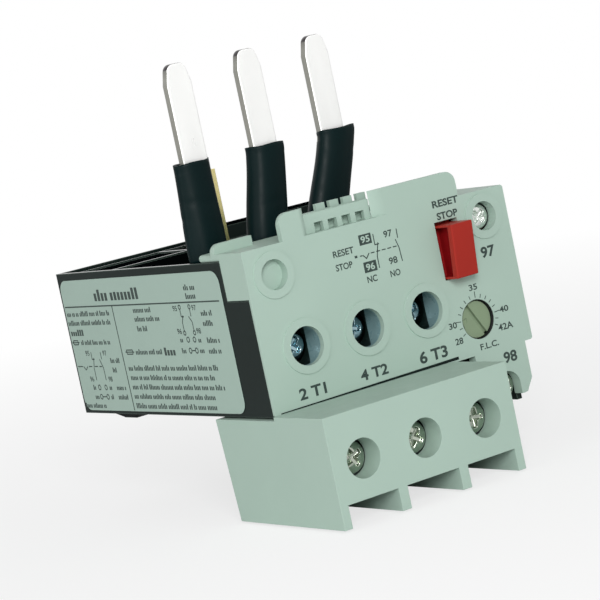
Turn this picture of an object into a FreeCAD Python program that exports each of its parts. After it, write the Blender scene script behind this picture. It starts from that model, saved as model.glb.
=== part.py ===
"""Three-pole thermal overload relay with plug-in stabs and a screw terminal block.

Axes: +X to the right across the front, +Y from the front cover to the back, +Z up along the stabs.
The pieces are drawn from the lower left corner of the front cover's face, and each one is then placed so
that the origin is the middle stab's centre line, where the bare blade leaves its sleeve.
All lengths are in millimetres.
"""
import FreeCAD, Part
import math
import os
import Sketcher

SIZES = [
    # pole layout
    ("pole_count", 3, "poles"),
    ("pole_pitch", 15.0, "pole to pole, in the housing and in the terminal block"),
    ("bay_inset", 6.64, "first stab root and block clamp from the cover's left edge"),
    ("screw_shift", 3.8, "main terminal screw, to the right of its pole's stab root"),
    ("mechanism_gap", 5.56, "last main terminal screw to the middle of the tripping mechanism's wall"),
    ("mechanism_width", 19.8, "middle of the tripping mechanism's wall to the right side"),
    # front cover
    ("cover_lip", 0.6, "thin rim of the cover that closes on the housing's front edge"),
    ("cover_plate", 2.2, "front plate, from its face to its back"),
    ("cover_fit", 0.15, "gap between the cover's plug or returns and the housing"),
    ("top_depth", 17.0, "cover's top plate, from front to back"),
    ("return_depth", 8.5, "cover's side returns, from front to back"),
    ("return_height", 9.4, "side returns, up to the cover's top"),
    ("return_wall", 1.5, "thickness of the side returns and of the top plate"),
    ("plate_round", 0.7, "rounding of the top plate's back edge"),
    ("guard_left", 10.0, "raised front guard, left end"),
    ("guard_right", 11.7, "raised front guard, right end from the right side"),
    ("guard_rise", 5.4, "raised front guard, above the cover's top"),
    ("guard_thick", 1.4, "raised front guard, thickness"),
    ("guard_radius", 2.4, "raised front guard, top corners"),
    ("wall_radius", 1.9, "short wall on the top plate, left corner"),
    ("low_wall_front", 10.0, "short wall on the top plate, its front face"),
    ("low_wall_thick", 1.4, "short wall on the top plate, thickness"),
    ("low_wall_width", 9.4, "short wall on the top plate, across"),
    ("low_wall_rise", 1.95, "short wall on the top plate, above it"),
    ("aux_inset", 2.1, "auxiliary tongue of the cover, from the right side"),
    ("aux_width", 13.5, "auxiliary tongue of the cover, across"),
    ("aux_drop", 10.4, "auxiliary tongue, how far it hangs below the cover"),
    ("aux_corner", 1.8, "auxiliary tongue, corner bevel across"),
    ("aux_rise", 2.7, "auxiliary tongue, corner bevel up"),
    # comb over the middle poles
    ("comb_left", 17.2, "comb recess, left edge"),
    ("comb_width", 14.8, "comb recess, across its floor"),
    ("comb_ramp", 2.2, "left end of the comb recess, sloped part"),
    ("comb_ramp_right", 3.8, "right end of the comb recess, sloped part"),
    ("comb_sink", 1.8, "comb recess, depth"),
    ("comb_rise", 3.9, "comb plate, above the cover's top"),
    ("comb_plate", 1.0, "comb plate, thickness"),
    ("comb_lap", 1.0, "comb plate, past the recess at each end"),
    ("comb_pitch", 3.38, "window to window and tooth to tooth"),
    ("window_inset", 2.0, "first window, from the recess's left edge"),
    ("window_count", 4, "windows in the comb"),
    ("window_width", 2.15, "window, across"),
    ("window_height", 1.9, "window, up"),
    ("tooth_front", 4.3, "toothed wall behind the comb, its front face"),
    ("tooth_thick", 1.0, "toothed wall, thickness"),
    ("tooth_shift", 2.93, "first tooth, to the right of the first window"),
    ("tooth_rise", 5.2, "toothed wall, above the cover's top"),
    # holes in the front cover
    ("screw_level", 11.97, "main terminal screws, height"),
    ("bore_radius", 3.9, "screwdriver bores of the main row and of the block"),
    ("bore_wall", 1.0, "wall of the tubes behind the bores"),
    ("bore_clear", 0.5, "from the end of a bore's tube to its screw head"),
    ("rim_margin", 1.65, "raised rim round a bore, how much wider"),
    ("rim_height", 0.35, "raised rim round a bore, height"),
    ("aux_high_inset", 6.4, "upper auxiliary screw, from the right side"),
    ("aux_high_drop", 5.4, "upper auxiliary screw, below the cover's top"),
    ("aux_low_inset", 6.6, "lower auxiliary screw, from the tongue's right edge"),
    ("aux_low_drop", 8.0, "lower auxiliary screw, below the cover"),
    ("aux_radius", 3.05, "auxiliary bores"),
    ("blank_inset", 6.4, "blind recess, from the left edge"),
    ("blank_drop", 5.8, "blind recess, below the cover's top"),
    ("blank_depth", 1.7, "blind recess, depth"),
    # reset button
    ("button_inset", 0.95, "reset button, from the middle of the mechanism's wall"),
    ("button_width", 5.5, "reset button, across"),
    ("button_drop", 4.9, "reset button, its upper face below the cover's top"),
    ("button_height", 11.2, "reset button, up"),
    ("button_proud", 5.3, "reset button, how far its top edge stands out"),
    ("button_slant", 1.3, "reset button, how much less its bottom edge stands out"),
    ("button_gap", 0.2, "play between the button and its slot"),
    ("slot_headroom", 0.5, "extra height of the slot above the button"),
    ("button_flange", 0.9, "retaining flange above and below the button"),
    ("flange_thick", 1.5, "retaining flange, thickness"),
    ("button_rim", 1.0, "rim round the hollows in the button's sides"),
    ("stem_radius", 1.5, "button stem"),
    ("stem_length", 13.0, "button stem behind the flange"),
    ("spring_wire", 0.25, "return spring, wire radius"),
    ("spring_radius", 2.1, "return spring, mean radius"),
    ("spring_turns", 4, "return spring, turns"),
    # current dial
    ("dial_inset", 6.9, "dial centre, from the middle of the mechanism's wall"),
    ("dial_level", 7.2, "dial centre, height"),
    ("dial_radius", 3.85, "dial"),
    ("dial_gap", 0.28, "play between the dial and its hole"),
    ("dial_sink", 0.8, "dial face below the cover's face"),
    ("dial_head", 2.6, "dial head, thickness"),
    ("dial_slot", 0.8, "screwdriver slot in the dial, width and depth"),
    ("arrow_depth", 0.3, "arrow in the dial, depth"),
    ("dial_collar", 0.9, "collar behind the dial, how much wider"),
    ("shaft_radius", 1.8, "dial shaft"),
    ("shaft_length", 7.0, "dial shaft behind its head"),
    ("cam_radius", 2.5, "cam on the dial shaft"),
    ("cam_throw", 0.6, "cam, off its axis"),
    ("cam_thick", 1.8, "cam, thickness"),
    # housing
    ("housing_depth", 78.1, "housing, back face from the cover's face"),
    ("housing_height", 31.5, "housing, top edge"),
    ("housing_wall", 1.8, "housing, outer walls"),
    ("partition", 1.2, "walls between the poles"),
    ("partition_shift", 6.66, "wall between two poles, to the right of a main terminal screw"),
    ("panel_sink", 0.4, "sunk panels in the housing's top"),
    ("rib_width", 0.8, "ribs between the sunk panels"),
    ("rib_back", 53.5, "cross rib in the top, from the front"),
    ("rib_side", 21.0, "lengthwise rib in the top, from the left"),
    ("ledge_back", 68.0, "rear ledge of the top, from the front"),
    ("ledge_sink", 1.2, "rear ledge, how far it is sunk"),
    ("hump_left", 30.0, "hump at the back of the top, left end"),
    ("hump_depth", 10.0, "hump, front to back"),
    ("hump_rise", 2.7, "hump, above the housing's top"),
    ("chamber_drop", 11.9, "auxiliary chamber, how far it hangs below the housing"),
    ("chamber_depth", 17.0, "auxiliary chamber, front to back"),
    ("chamber_wall", 1.3, "auxiliary chamber, walls"),
    ("foot_front", 58.0, "feet under the housing, from the front"),
    ("foot_length", 14.0, "feet under the housing, length"),
    ("foot_width", 7.2, "feet under the housing, width"),
    ("foot_height", 0.4, "feet under the housing, height"),
    # terminal block
    ("block_proud", 17.6, "terminal block, how far it stands out in front"),
    ("block_top", 0.36, "terminal block, top face"),
    ("block_gap", 0.6, "gap between the block and the cover"),
    ("block_back", 21.4, "terminal block, back face"),
    ("block_wall", 2.2, "terminal block, fins between its bays"),
    ("block_side", 1.9, "terminal block, side walls"),
    ("block_back_wall", 1.7, "terminal block, back wall"),
    ("block_taper", 1.7, "terminal block, how much its back leans in at the bottom"),
    ("block_front_wall", 1.9, "terminal block, front wall"),
    ("block_tube", 1.0, "terminal block, wall of the tubes behind its bores"),
    ("block_skirt", 17.05, "lower edge of the front wall, below the cover"),
    ("block_bottom", 21.6, "lower edge of the fins, below the cover"),
    ("block_roof", 2.2, "wall over the clamps"),
    ("block_screw_level", -9.27, "block screws, height"),
    # line stabs and sleeves
    ("stab_pitch", 17.1, "stab to stab, at the blades"),
    ("blade_shift", 3.21, "blades, to the right of their roots on average"),
    ("stab_front", 22.0, "blades' front face, from the cover's face"),
    ("stab_thick", 2.0, "stab, thickness"),
    ("stab_width", 5.9, "stab, width"),
    ("stab_root", 9.3, "stab root, below the ceiling"),
    ("jog_start", 1.5, "where a stab starts to lean to its blade's place, above the housing's top"),
    ("jog_length", 17.5, "leaning part of a stab, up"),
    ("blade_length", 15.7, "bare blade, from its sleeve to where its tip narrows"),
    ("tip_length", 4.1, "narrowing tip of a blade"),
    ("tip_width", 4.0, "tip, width"),
    ("tip_radius", 1.6, "tip, corner radius"),
    ("sleeve_height", 20.0, "sleeves, above the housing's top"),
    ("sleeve_half", 4.4, "middle sleeve, half its width at the top"),
    ("sleeve_step", 0.25, "how much more the half width of each next sleeve is"),
    ("sleeve_deep", 2.65, "sleeves, half their depth"),
    ("sleeve_shift", 0.25, "middle sleeve's top, to the right of its blade"),
    ("sleeve_splay", 0.9, "outer sleeves' tops, outward of that"),
    ("sleeve_flare", 0.5, "how much more a sleeve stands out where it starts to lean"),
    ("sleeve_gap", 0.05, "between a stab and its sleeve"),
    # plug-in link strip
    ("link_right", 14.5, "link strip, right edge"),
    ("link_width", 5.0, "link strip, width"),
    ("link_thick", 0.8, "link strip, thickness"),
    ("link_front", 26.6, "link strip, front face"),
    ("link_rise", 17.2, "link strip's top end, above the housing's top"),
    ("link_foot", 12.0, "lower edge of the link strip's run across the poles"),
    ("link_run", 4.0, "height of the link strip's run across the poles"),
    ("link_gap", 0.6, "clearance of the link strip in the walls it crosses"),
    # screws and clamps
    ("head_radius", 3.3, "main and block screw heads"),
    ("head_thick", 2.2, "main and block screw heads"),
    ("thread_radius", 2.0, "main and block screw shanks"),
    ("turning_gap", 0.05, "play round a turning shank"),
    ("recess_width", 1.1, "driver cross, width"),
    ("recess_depth", 1.3, "driver cross, depth"),
    ("head_edge", 0.6, "bevel of the screw heads"),
    ("main_head_front", 6.2, "main screw heads, behind the cover's face"),
    ("main_length", 8.0, "main screw shanks"),
    ("block_head_sink", 3.4, "block screw heads, behind the block's face"),
    ("cage_width", 10.6, "block clamp, across"),
    ("cage_height", 9.6, "block clamp, up"),
    ("cage_front_wall", 1.8, "block clamp, threaded wall"),
    ("cage_wall", 1.2, "block clamp, other walls"),
    ("cage_window", 7.0, "block clamp, opening front to back"),
    ("cage_start", 1.5, "gap from a block screw's head to its clamp when open"),
    ("bar_thick", 1.5, "bus bars and load lugs, thickness"),
    ("bar_width", 5.0, "bus bars and load lugs, width"),
    ("aux_head_radius", 2.6, "auxiliary screw heads"),
    ("aux_head_thick", 1.6, "auxiliary screw heads"),
    ("aux_thread_radius", 1.5, "auxiliary screw shanks"),
    ("aux_head_front", 1.9, "auxiliary screw heads, behind the cover's face"),
    ("aux_length", 6.0, "auxiliary screw shanks"),
    ("aux_plate", 1.2, "auxiliary terminal plates, thickness"),
    # bimetals, heaters and tripping mechanism
    ("bimetal_middle", 40.0, "bimetals, their middle from the front"),
    ("bimetal_width", 6.0, "bimetal strip, width"),
    ("bimetal_thick", 1.0, "bimetal strip, thickness"),
    ("bimetal_overlap", 4.0, "free ends of the bimetals, above the slide's lower edge"),
    ("heater_turns", 5, "heater ribbon, turns round a bimetal"),
    ("heater_ribbon", 1.6, "heater ribbon, width"),
    ("heater_thick", 0.5, "heater ribbon, thickness"),
    ("heater_gap", 0.35, "insulation between the bimetal and its heater"),
    ("slide_front", 45.0, "trip slide, front face"),
    ("slide_thick", 2.0, "trip slide, thickness"),
    ("slide_drop", 2.3, "trip slide, below the ceiling"),
    ("slide_height", 5.0, "trip slide, up"),
    ("finger_gap", 0.4, "between a cold bimetal and its finger on the slide"),
    ("running_gap", 0.3, "between moving pieces and what they pass"),
    ("lever_inset", 4.0, "trip lever's pivot, from the middle of the mechanism's wall"),
    ("lever_line", 40.0, "trip lever's pivot, from the front"),
    ("lever_bottom", 14.0, "trip lever, lower end of its hub"),
    ("lever_reach", 5.0, "trip lever, from its pivot to its nose"),
    ("lever_nose", 4.4, "trip lever's nose, up"),
    ("lever_bore", 1.05, "trip lever's hole"),
    ("pin_radius", 1.0, "trip lever's pivot pin"),
    ("carriage_inset", 7.0, "contact carriage, from the middle of the mechanism's wall"),
    ("carriage_width", 4.0, "contact carriage, across"),
    ("carriage_front", 21.35, "contact carriage, front face"),
    ("carriage_back", 33.0, "contact carriage, back face"),
    ("carriage_level", 12.5, "contact carriage, lower edge"),
    ("carriage_height", 6.0, "contact carriage, up"),
    ("carriage_travel", 1.2, "contact carriage, travel"),
    ("bridge_thick", 0.6, "contact bridges, thickness"),
    ("bridge_height", 1.6, "contact bridges, up"),
    ("bridge_level", 14.0, "contact bridges, lower edge"),
    ("bridge_reach", 4.4, "contact bridges, past the carriage at each side"),
    ("closed_bridge", 24.0, "bridge that is closed at rest, its front face"),
    ("open_bridge", 31.0, "bridge that is open at rest, its front face"),
    ("contact_gap", 0.05, "between a closed bridge and its contacts"),
    ("rivet_radius", 0.9, "contact rivets"),
    ("leaf_thick", 0.8, "fixed contact leaves, thickness"),
    ("leaf_width", 3.0, "fixed contact leaves, across"),
    ("leaf_top", 17.0, "fixed contact leaves, top"),
    ("frame_front", 14.0, "mechanism frame, front face"),
    ("frame_thick", 1.5, "mechanism frame, thickness"),
    ("frame_bottom", 3.4, "mechanism frame, lower edge"),
    ("frame_clear", 5.8, "mechanism frame, from the right side"),
    # label
    ("label_front", 10.2, "rating label, front edge"),
    ("label_inset", 0.8, "rating label, from the housing's back"),
    ("label_bottom", 0.7, "rating label, lower edge"),
    ("label_drop", 1.6, "rating label, below the housing's top"),
    ("label_thick", 0.15, "rating label"),
    ("label_radius", 2.6, "rating label, corners"),
]

doc = FreeCAD.newDocument("overload_relay")
sheet = doc.addObject("Spreadsheet::Sheet", "Sizes")
for row, (alias, number, note) in enumerate(SIZES, 1):
    sheet.set(f"A{row}", note)
    sheet.set(f"B{row}", str(number))
    sheet.setAlias(f"B{row}", alias)
doc.recompute()


class Size:
    """A length with its present number and the sheet formula that it comes from."""

    def __init__(self, number, formula):
        self.number = float(number)
        self.formula = formula

    def __float__(self):
        return self.number

    def __add__(self, other):
        other = sized(other)
        return Size(self.number + other.number, f"({self.formula} + {other.formula})")

    def __sub__(self, other):
        other = sized(other)
        return Size(self.number - other.number, f"({self.formula} - {other.formula})")

    def __mul__(self, other):
        other = sized(other)
        return Size(self.number * other.number, f"({self.formula} * {other.formula})")

    def __truediv__(self, other):
        other = sized(other)
        return Size(self.number / other.number, f"({self.formula} / {other.formula})")

    def __neg__(self):
        return Size(0, "0") - self

    def __radd__(self, other):
        return sized(other) + self

    def __rsub__(self, other):
        return sized(other) - self

    def __rmul__(self, other):
        return sized(other) * self


class Sheet:
    """The sheet's cells by name, each as a Size."""


def sized(value):
    """A plain number as a Size."""
    if isinstance(value, Size):
        return value
    return Size(value, repr(float(value)))


s = Sheet()
for alias, number, note in SIZES:
    setattr(s, alias, Size(sheet.get(alias), f"Sizes.{alias}"))

POLES = range(int(float(s.pole_count)))
SLEEVE_FLATS = 16
BLADES_MIDDLE = s.bay_inset + s.pole_pitch * (s.pole_count - 1) / 2 + s.blade_shift
SLEEVE_TOP = s.housing_height + s.sleeve_height
ORIGIN = (BLADES_MIDDLE, s.stab_front + s.stab_thick / 2, SLEEVE_TOP)
nodes = []


def bind(thing, **values):
    """Tie properties of an object to their formulas."""
    for name, value in values.items():
        thing.setExpression(name, sized(value).formula)


def seat(thing, label):
    """Name a finished piece and place it from the cover's corner to the common origin."""
    thing.Label = label
    for axis, shift in zip("xyz", ORIGIN):
        thing.setExpression(f"Placement.Base.{axis}", (-shift).formula)
    nodes.append(thing)
    return thing


def new_body(label):
    """A PartDesign body that becomes one sub-part."""
    body = doc.addObject("PartDesign::Body", label)
    return seat(body, label)


def rectangle(low_x, high_x, low_y, high_y):
    """Corners of an upright rectangle in a sketch."""
    return [(low_x, low_y), (high_x, low_y), (high_x, high_y), (low_x, high_y)]


def pin_point(sketch, geometry, point, x, y):
    """Hold a sketch point at two formulas."""
    for kind, value in (("DistanceX", x), ("DistanceY", y)):
        value = sized(value)
        index = sketch.addConstraint(Sketcher.Constraint(kind, -1, 1, geometry, point, value.number))
        sketch.setExpression(f"Constraints[{index}]", value.formula)


def draw_corners(sketch, corners):
    """Draw a closed outline of straight lines through its corners."""
    points = [FreeCAD.Vector(float(x), float(y), 0) for x, y in corners]
    first = sketch.GeometryCount
    count = len(points)
    for index in range(count):
        sketch.addGeometry(Part.LineSegment(points[index], points[(index + 1) % count]), False)
    for index, (x, y) in enumerate(corners):
        before = first + (index - 1) % count
        sketch.addConstraint(Sketcher.Constraint("Coincident", before, 2, first + index, 1))
        pin_point(sketch, first + index, 1, x, y)


def draw_circle(sketch, x, y, radius):
    """Draw a circle about a point."""
    radius = sized(radius)
    circle = sketch.addGeometry(Part.Circle(FreeCAD.Vector(float(x), float(y), 0),
                                            FreeCAD.Vector(0, 0, 1), radius.number), False)
    index = sketch.addConstraint(Sketcher.Constraint("Radius", circle, radius.number))
    sketch.setExpression(f"Constraints[{index}]", radius.formula)
    pin_point(sketch, circle, 3, x, y)


def new_sketch(body, plane, start, outlines):
    """A sketch across one axis of the body, at the given station, with its outlines drawn."""
    sketch = body.newObject("Sketcher::SketchObject", f"{body.Name}_outline")
    base = [item for item in body.Origin.OriginFeatures if item.Role == f"{plane}_Plane"][0]
    sketch.AttachmentSupport = [(base, "")]
    sketch.MapMode = "FlatFace"
    station = -sized(start) if plane == "XZ" else sized(start)
    sketch.setExpression(".AttachmentOffset.Base.z", station.formula)
    for outline in outlines:
        if len(outline) == 3 and not isinstance(outline[0], tuple):
            draw_circle(sketch, *outline)
        else:
            draw_corners(sketch, outline)
    return sketch


def add(body, plane, start, end, *outlines):
    """Add material between two stations of the axis that the plane is square to."""
    pad = body.newObject("PartDesign::Pad", f"{body.Name}_pad")
    pad.Profile = new_sketch(body, plane, start, outlines)
    pad.Reversed = plane == "XZ"
    bind(pad, Length=sized(end) - start)
    pad.Profile[0].Visibility = False
    return pad


def cut(body, plane, start, end, *outlines):
    """Take material away between two stations of the axis that the plane is square to."""
    pocket = body.newObject("PartDesign::Pocket", f"{body.Name}_pocket")
    pocket.Profile = new_sketch(body, plane, start, outlines)
    pocket.Reversed = plane != "XZ"
    bind(pocket, Length=sized(end) - start)
    return pocket


def along(edge, axis):
    """Whether a straight edge runs along x, y or z."""
    if edge.Curve.TypeId != "Part::GeomLine":
        return False
    run = edge.Vertexes[1].Point - edge.Vertexes[0].Point
    return abs(abs(getattr(run, axis)) - run.Length) < 1e-6


def is_at(edge, **places):
    """Whether an edge's middle lies at the given body coordinates."""
    middle = edge.BoundBox.Center
    return all(abs(getattr(middle, axis) - float(value)) < 0.02 for axis, value in places.items())


def round_edges(body, kind, size, chosen):
    """Fillet or chamfer the edges of a body that the test picks."""
    doc.recompute()
    base = body.Tip
    shape = base.Shape
    names = [f"Edge{number}" for number, edge in enumerate(shape.Edges, 1) if chosen(edge)]
    feature = body.newObject(f"PartDesign::{kind}", f"{body.Name}_{kind.lower()}")
    feature.Base = (base, names)
    bind(feature, **{"Radius" if kind == "Fillet" else "Size": size})
    return feature


# stations and lines that several pieces share
def bay_middle(pole):
    """Stab root and block clamp of a pole."""
    return s.bay_inset + s.pole_pitch * pole


def screw_line(pole):
    """Main terminal screw of a pole."""
    return bay_middle(pole) + s.screw_shift


def blade_middle(pole):
    """Plug-in blade of a pole."""
    return BLADES_MIDDLE + s.stab_pitch * (pole - (s.pole_count - 1) / 2)


def partition_lines():
    """Middles of the walls between the housing's chambers."""
    return [screw_line(pole) + s.partition_shift for pole in POLES[:-1]] + [MECHANISM]


MECHANISM = screw_line(POLES[-1]) + s.mechanism_gap
WIDTH = MECHANISM + s.mechanism_width
COVER_TOP = s.housing_height + s.return_wall
RETURN_BOTTOM = COVER_TOP - s.return_height
GUARD_RIGHT = WIDTH - s.guard_right
GUARD_TOP = COVER_TOP + s.guard_rise
COMB_RIGHT = s.comb_left + s.comb_width
COMB_BACK = s.comb_sink + s.comb_plate
COMB_TOP = COVER_TOP + s.comb_rise
WINDOW_FIRST = s.comb_left + s.window_inset
AUX_RIGHT = WIDTH - s.aux_inset
AUX_LEFT = AUX_RIGHT - s.aux_width
AUX_HIGH = (WIDTH - s.aux_high_inset, COVER_TOP - s.aux_high_drop)
AUX_LOW = (AUX_RIGHT - s.aux_low_inset, -s.aux_low_drop)
BLANK = (s.blank_inset, COVER_TOP - s.blank_drop)
DIAL = (MECHANISM + s.dial_inset, s.dial_level)
CAVITY_LEFT = s.housing_wall
CAVITY_RIGHT = WIDTH - s.housing_wall
CAVITY_BACK = s.housing_depth - s.housing_wall
PANEL_LEVEL = s.housing_height - s.panel_sink
CEILING = PANEL_LEVEL - s.housing_wall
BUTTON_LEFT = MECHANISM + s.button_inset
BUTTON_RIGHT = BUTTON_LEFT + s.button_width
BUTTON_TOP = COVER_TOP - s.button_drop
BUTTON_BOTTOM = BUTTON_TOP - s.button_height
STEM = (BUTTON_LEFT + s.button_width / 2, BUTTON_BOTTOM + s.button_height / 2)
BAR_FRONT = s.main_head_front + s.head_thick + s.turning_gap
LUG_FRONT = BAR_FRONT + s.bar_thick
LUG_BACK = LUG_FRONT + s.bar_thick
BORE_BACK = s.main_head_front - s.bore_clear
BAY_CEILING = -s.foot_height - s.block_roof
BLOCK_LEFT = s.bay_inset - s.pole_pitch / 2
BLOCK_HEAD_FRONT = s.block_head_sink - s.block_proud
BLOCK_HEAD_BACK = BLOCK_HEAD_FRONT + s.head_thick
CAGE_FRONT = BLOCK_HEAD_BACK + s.cage_start
CAGE_BACK = CAGE_FRONT + s.cage_front_wall + s.cage_window + s.cage_wall
TONGUE_FRONT = CAGE_FRONT + s.cage_front_wall + s.turning_gap
STAB_BOTTOM = CEILING - s.stab_root
JOG_LOW = s.housing_height + s.jog_start
JOG_HIGH = JOG_LOW + s.jog_length
SHOULDER = SLEEVE_TOP + s.blade_length
LINK_LEFT = s.link_right - s.link_width
LINK_BACK = s.link_front + s.link_thick
LINK_TOP_RUN = s.link_foot + s.link_run
BIMETAL_FRONT = s.bimetal_middle - s.bimetal_width / 2
BIMETAL_BACK = s.bimetal_middle + s.bimetal_width / 2
SLIDE_BACK = s.slide_front + s.slide_thick
SLIDE_TOP = CEILING - s.slide_drop
SLIDE_BOTTOM = SLIDE_TOP - s.slide_height
LEVER = (MECHANISM + s.lever_inset, s.lever_line)
LEVER_HALF = s.slide_thick / 2
CARRIAGE_LEFT = MECHANISM + s.carriage_inset
CARRIAGE_RIGHT = CARRIAGE_LEFT + s.carriage_width
LEAF_LEFT = CARRIAGE_RIGHT + s.bridge_reach - s.leaf_width
FRAME_RIGHT = WIDTH - s.frame_clear
OPEN_FACE = s.open_bridge - s.carriage_travel - s.contact_gap
OPEN_LEAF_BACK = OPEN_FACE - s.leaf_thick
AUX_PLATE_FRONT = s.aux_head_front + s.aux_head_thick + s.turning_gap


def front_cover():
    """Moulded front cover: plate, top plate, side returns, guard, comb and the bores of its screws."""
    body = new_body("front_cover")
    tongue_right = AUX_RIGHT - s.aux_corner
    face = [(0, 0), (AUX_LEFT, 0), (AUX_LEFT, -s.aux_drop), (tongue_right, -s.aux_drop),
            (AUX_RIGHT, -s.aux_drop + s.aux_rise), (AUX_RIGHT, 0), (WIDTH, 0),
            (WIDTH, COVER_TOP), (0, COVER_TOP)]
    add(body, "XZ", 0, s.cover_lip, face)
    gap = s.cover_fit
    add(body, "XZ", s.cover_lip, s.cover_plate,
        rectangle(CAVITY_LEFT + gap, CAVITY_RIGHT - gap, s.housing_wall + gap, COVER_TOP))
    add(body, "XZ", s.cover_lip, s.cover_plate,
        rectangle(AUX_LEFT, tongue_right, -s.aux_drop, s.housing_wall + gap * 2))
    add(body, "XY", s.housing_height, COVER_TOP, rectangle(0, WIDTH, 0, s.top_depth))
    for low, high in ((0, s.return_wall), (WIDTH - s.return_wall, WIDTH)):
        add(body, "XZ", 0, s.return_depth, rectangle(low, high, RETURN_BOTTOM, COVER_TOP))
    add(body, "XZ", 0, s.guard_thick,
        rectangle(s.guard_left, GUARD_RIGHT, s.housing_height, GUARD_TOP))
    add(body, "XZ", s.low_wall_front, s.low_wall_front + s.low_wall_thick,
        rectangle(0, s.low_wall_width, s.housing_height, COVER_TOP + s.low_wall_rise))
    cover_corners(body)
    comb(body)
    cover_bores(body)
    cover_slots(body)
    return body


def cover_corners(body):
    """Round the guard, the short wall and the corners of the cover."""
    def guard_end(edge):
        ends = (s.guard_left, GUARD_RIGHT)
        return along(edge, "y") and any(is_at(edge, x=end, z=GUARD_TOP) for end in ends)

    def wall_end(edge):
        return along(edge, "y") and is_at(edge, x=0, z=COVER_TOP + s.low_wall_rise)

    def plate_end(edge):
        return along(edge, "z") and is_at(edge, y=s.top_depth)

    def plate_back(edge):
        return is_at(edge, y=s.top_depth) and edge.BoundBox.ZLength < 1e-6

    def front_corner(edge):
        low_corner = is_at(edge, x=0, z=0) or is_at(edge, x=WIDTH, z=0)
        return along(edge, "y") and low_corner

    round_edges(body, "Fillet", s.guard_radius, guard_end)
    round_edges(body, "Fillet", s.wall_radius, wall_end)
    round_edges(body, "Fillet", s.return_wall, plate_end)
    round_edges(body, "Fillet", s.plate_round, plate_back)
    round_edges(body, "Fillet", s.cover_lip, front_corner)


def comb(body):
    """Sunk comb plate with its windows between sloped ends, and the toothed wall behind it."""
    recess = [(s.comb_left - s.comb_ramp, 0), (s.comb_left, s.comb_sink), (COMB_RIGHT, s.comb_sink),
              (COMB_RIGHT + s.comb_ramp_right, 0), (COMB_RIGHT + s.comb_ramp_right, -1),
              (s.comb_left - s.comb_ramp, -1)]
    cut(body, "XY", COVER_TOP, GUARD_TOP + 1, recess)
    add(body, "XZ", s.comb_sink, COMB_BACK,
        rectangle(s.comb_left - s.comb_lap, COMB_RIGHT + s.comb_lap, s.housing_height, COMB_TOP))
    windows = [WINDOW_FIRST + s.comb_pitch * number for number in range(int(float(s.window_count)))]
    cut(body, "XZ", 0, COMB_BACK + 1,
        *[rectangle(left, left + s.window_width, COVER_TOP, COVER_TOP + s.window_height)
          for left in windows])
    teeth = [left + s.tooth_shift for left in windows]
    tooth_back = s.tooth_front + s.tooth_thick
    add(body, "XZ", s.tooth_front, tooth_back,
        rectangle(windows[0], teeth[-1] + s.window_width, s.housing_height, COMB_TOP))
    for left in teeth:
        add(body, "XZ", s.tooth_front, tooth_back,
            rectangle(left, left + s.window_width, COVER_TOP, COVER_TOP + s.tooth_rise))


def cover_bores(body):
    """Screwdriver bores with their tubes and rims, the dial's hole and the blind recess."""
    tubes = [(screw_line(pole), s.screw_level, s.bore_radius) for pole in POLES]
    blank = (*BLANK, s.aux_radius)
    high = (*AUX_HIGH, s.aux_radius)
    low = (*AUX_LOW, s.aux_radius)
    dial = (*DIAL, s.dial_radius + s.dial_gap)
    add(body, "XZ", s.cover_plate, BORE_BACK, *[(x, z, radius + s.bore_wall) for x, z, radius in tubes])
    add(body, "XZ", -s.rim_height, 0, *[(x, z, radius + s.rim_margin) for x, z, radius in tubes])
    add(body, "XZ", -s.rim_height, 0, *[(x, z, radius + s.rim_margin) for x, z, radius in (blank, high, low)])
    cut(body, "XZ", -s.rim_height - 1, 0, rectangle(AUX_LEFT, AUX_RIGHT, -s.aux_drop * 2, -s.aux_drop))
    cut(body, "XZ", -1, s.blank_depth, blank)
    cut(body, "XZ", -1, BORE_BACK + 1, *tubes, high, low, dial)


def cover_slots(body):
    """The button's slot, and the lower auxiliary bore's way out to the tongue's edge."""
    gap = s.button_gap
    cut(body, "XZ", 0, BORE_BACK,
        rectangle(BUTTON_LEFT - gap, BUTTON_RIGHT + gap,
                  BUTTON_BOTTOM - gap, BUTTON_TOP + gap + s.slot_headroom))
    x, z = AUX_LOW
    cut(body, "XZ", -1, BORE_BACK, rectangle(x - s.aux_radius, x + s.aux_radius, -s.aux_drop - 1, z))


def rear_housing():
    """Black moulded housing: shell, walls between the poles, ribbed top and auxiliary chamber."""
    body = new_body("rear_housing")
    add(body, "XZ", s.cover_lip, s.housing_depth, rectangle(0, WIDTH, 0, s.housing_height))
    chamber_left = AUX_LEFT + s.cover_fit
    chamber_right = AUX_RIGHT - s.aux_corner - s.cover_fit
    chamber_back = s.cover_plate + s.chamber_depth
    add(body, "XZ", s.cover_plate, chamber_back,
        rectangle(chamber_left, chamber_right, -s.chamber_drop, s.housing_wall))
    for left in (s.housing_wall, CAVITY_RIGHT - s.foot_width):
        add(body, "XY", -s.foot_height, s.housing_wall / 2,
            rectangle(left, left + s.foot_width, s.foot_front, s.foot_front + s.foot_length))
    cut(body, "XZ", 0, s.cover_plate + s.cover_fit,
        rectangle(CAVITY_LEFT, CAVITY_RIGHT, s.housing_wall, s.housing_height + 1))
    walls = partition_lines()
    lefts = [CAVITY_LEFT] + [middle + s.partition / 2 for middle in walls]
    rights = [middle - s.partition / 2 for middle in walls] + [CAVITY_RIGHT]
    cut(body, "XZ", 0, CAVITY_BACK,
        *[rectangle(left, right, s.housing_wall, CEILING) for left, right in zip(lefts, rights)])
    cut(body, "XY", -s.chamber_drop - 1, s.housing_wall + 1,
        rectangle(chamber_left + s.chamber_wall, chamber_right - s.chamber_wall,
                  0, chamber_back - s.chamber_wall))
    cut(body, "XZ", 0, s.cover_plate,
        rectangle(AUX_LEFT - s.cover_fit, AUX_RIGHT - s.aux_corner + s.cover_fit,
                  -s.chamber_drop - 1, s.housing_wall + 1))
    housing_top(body)
    housing_passages(body)
    return body


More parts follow.
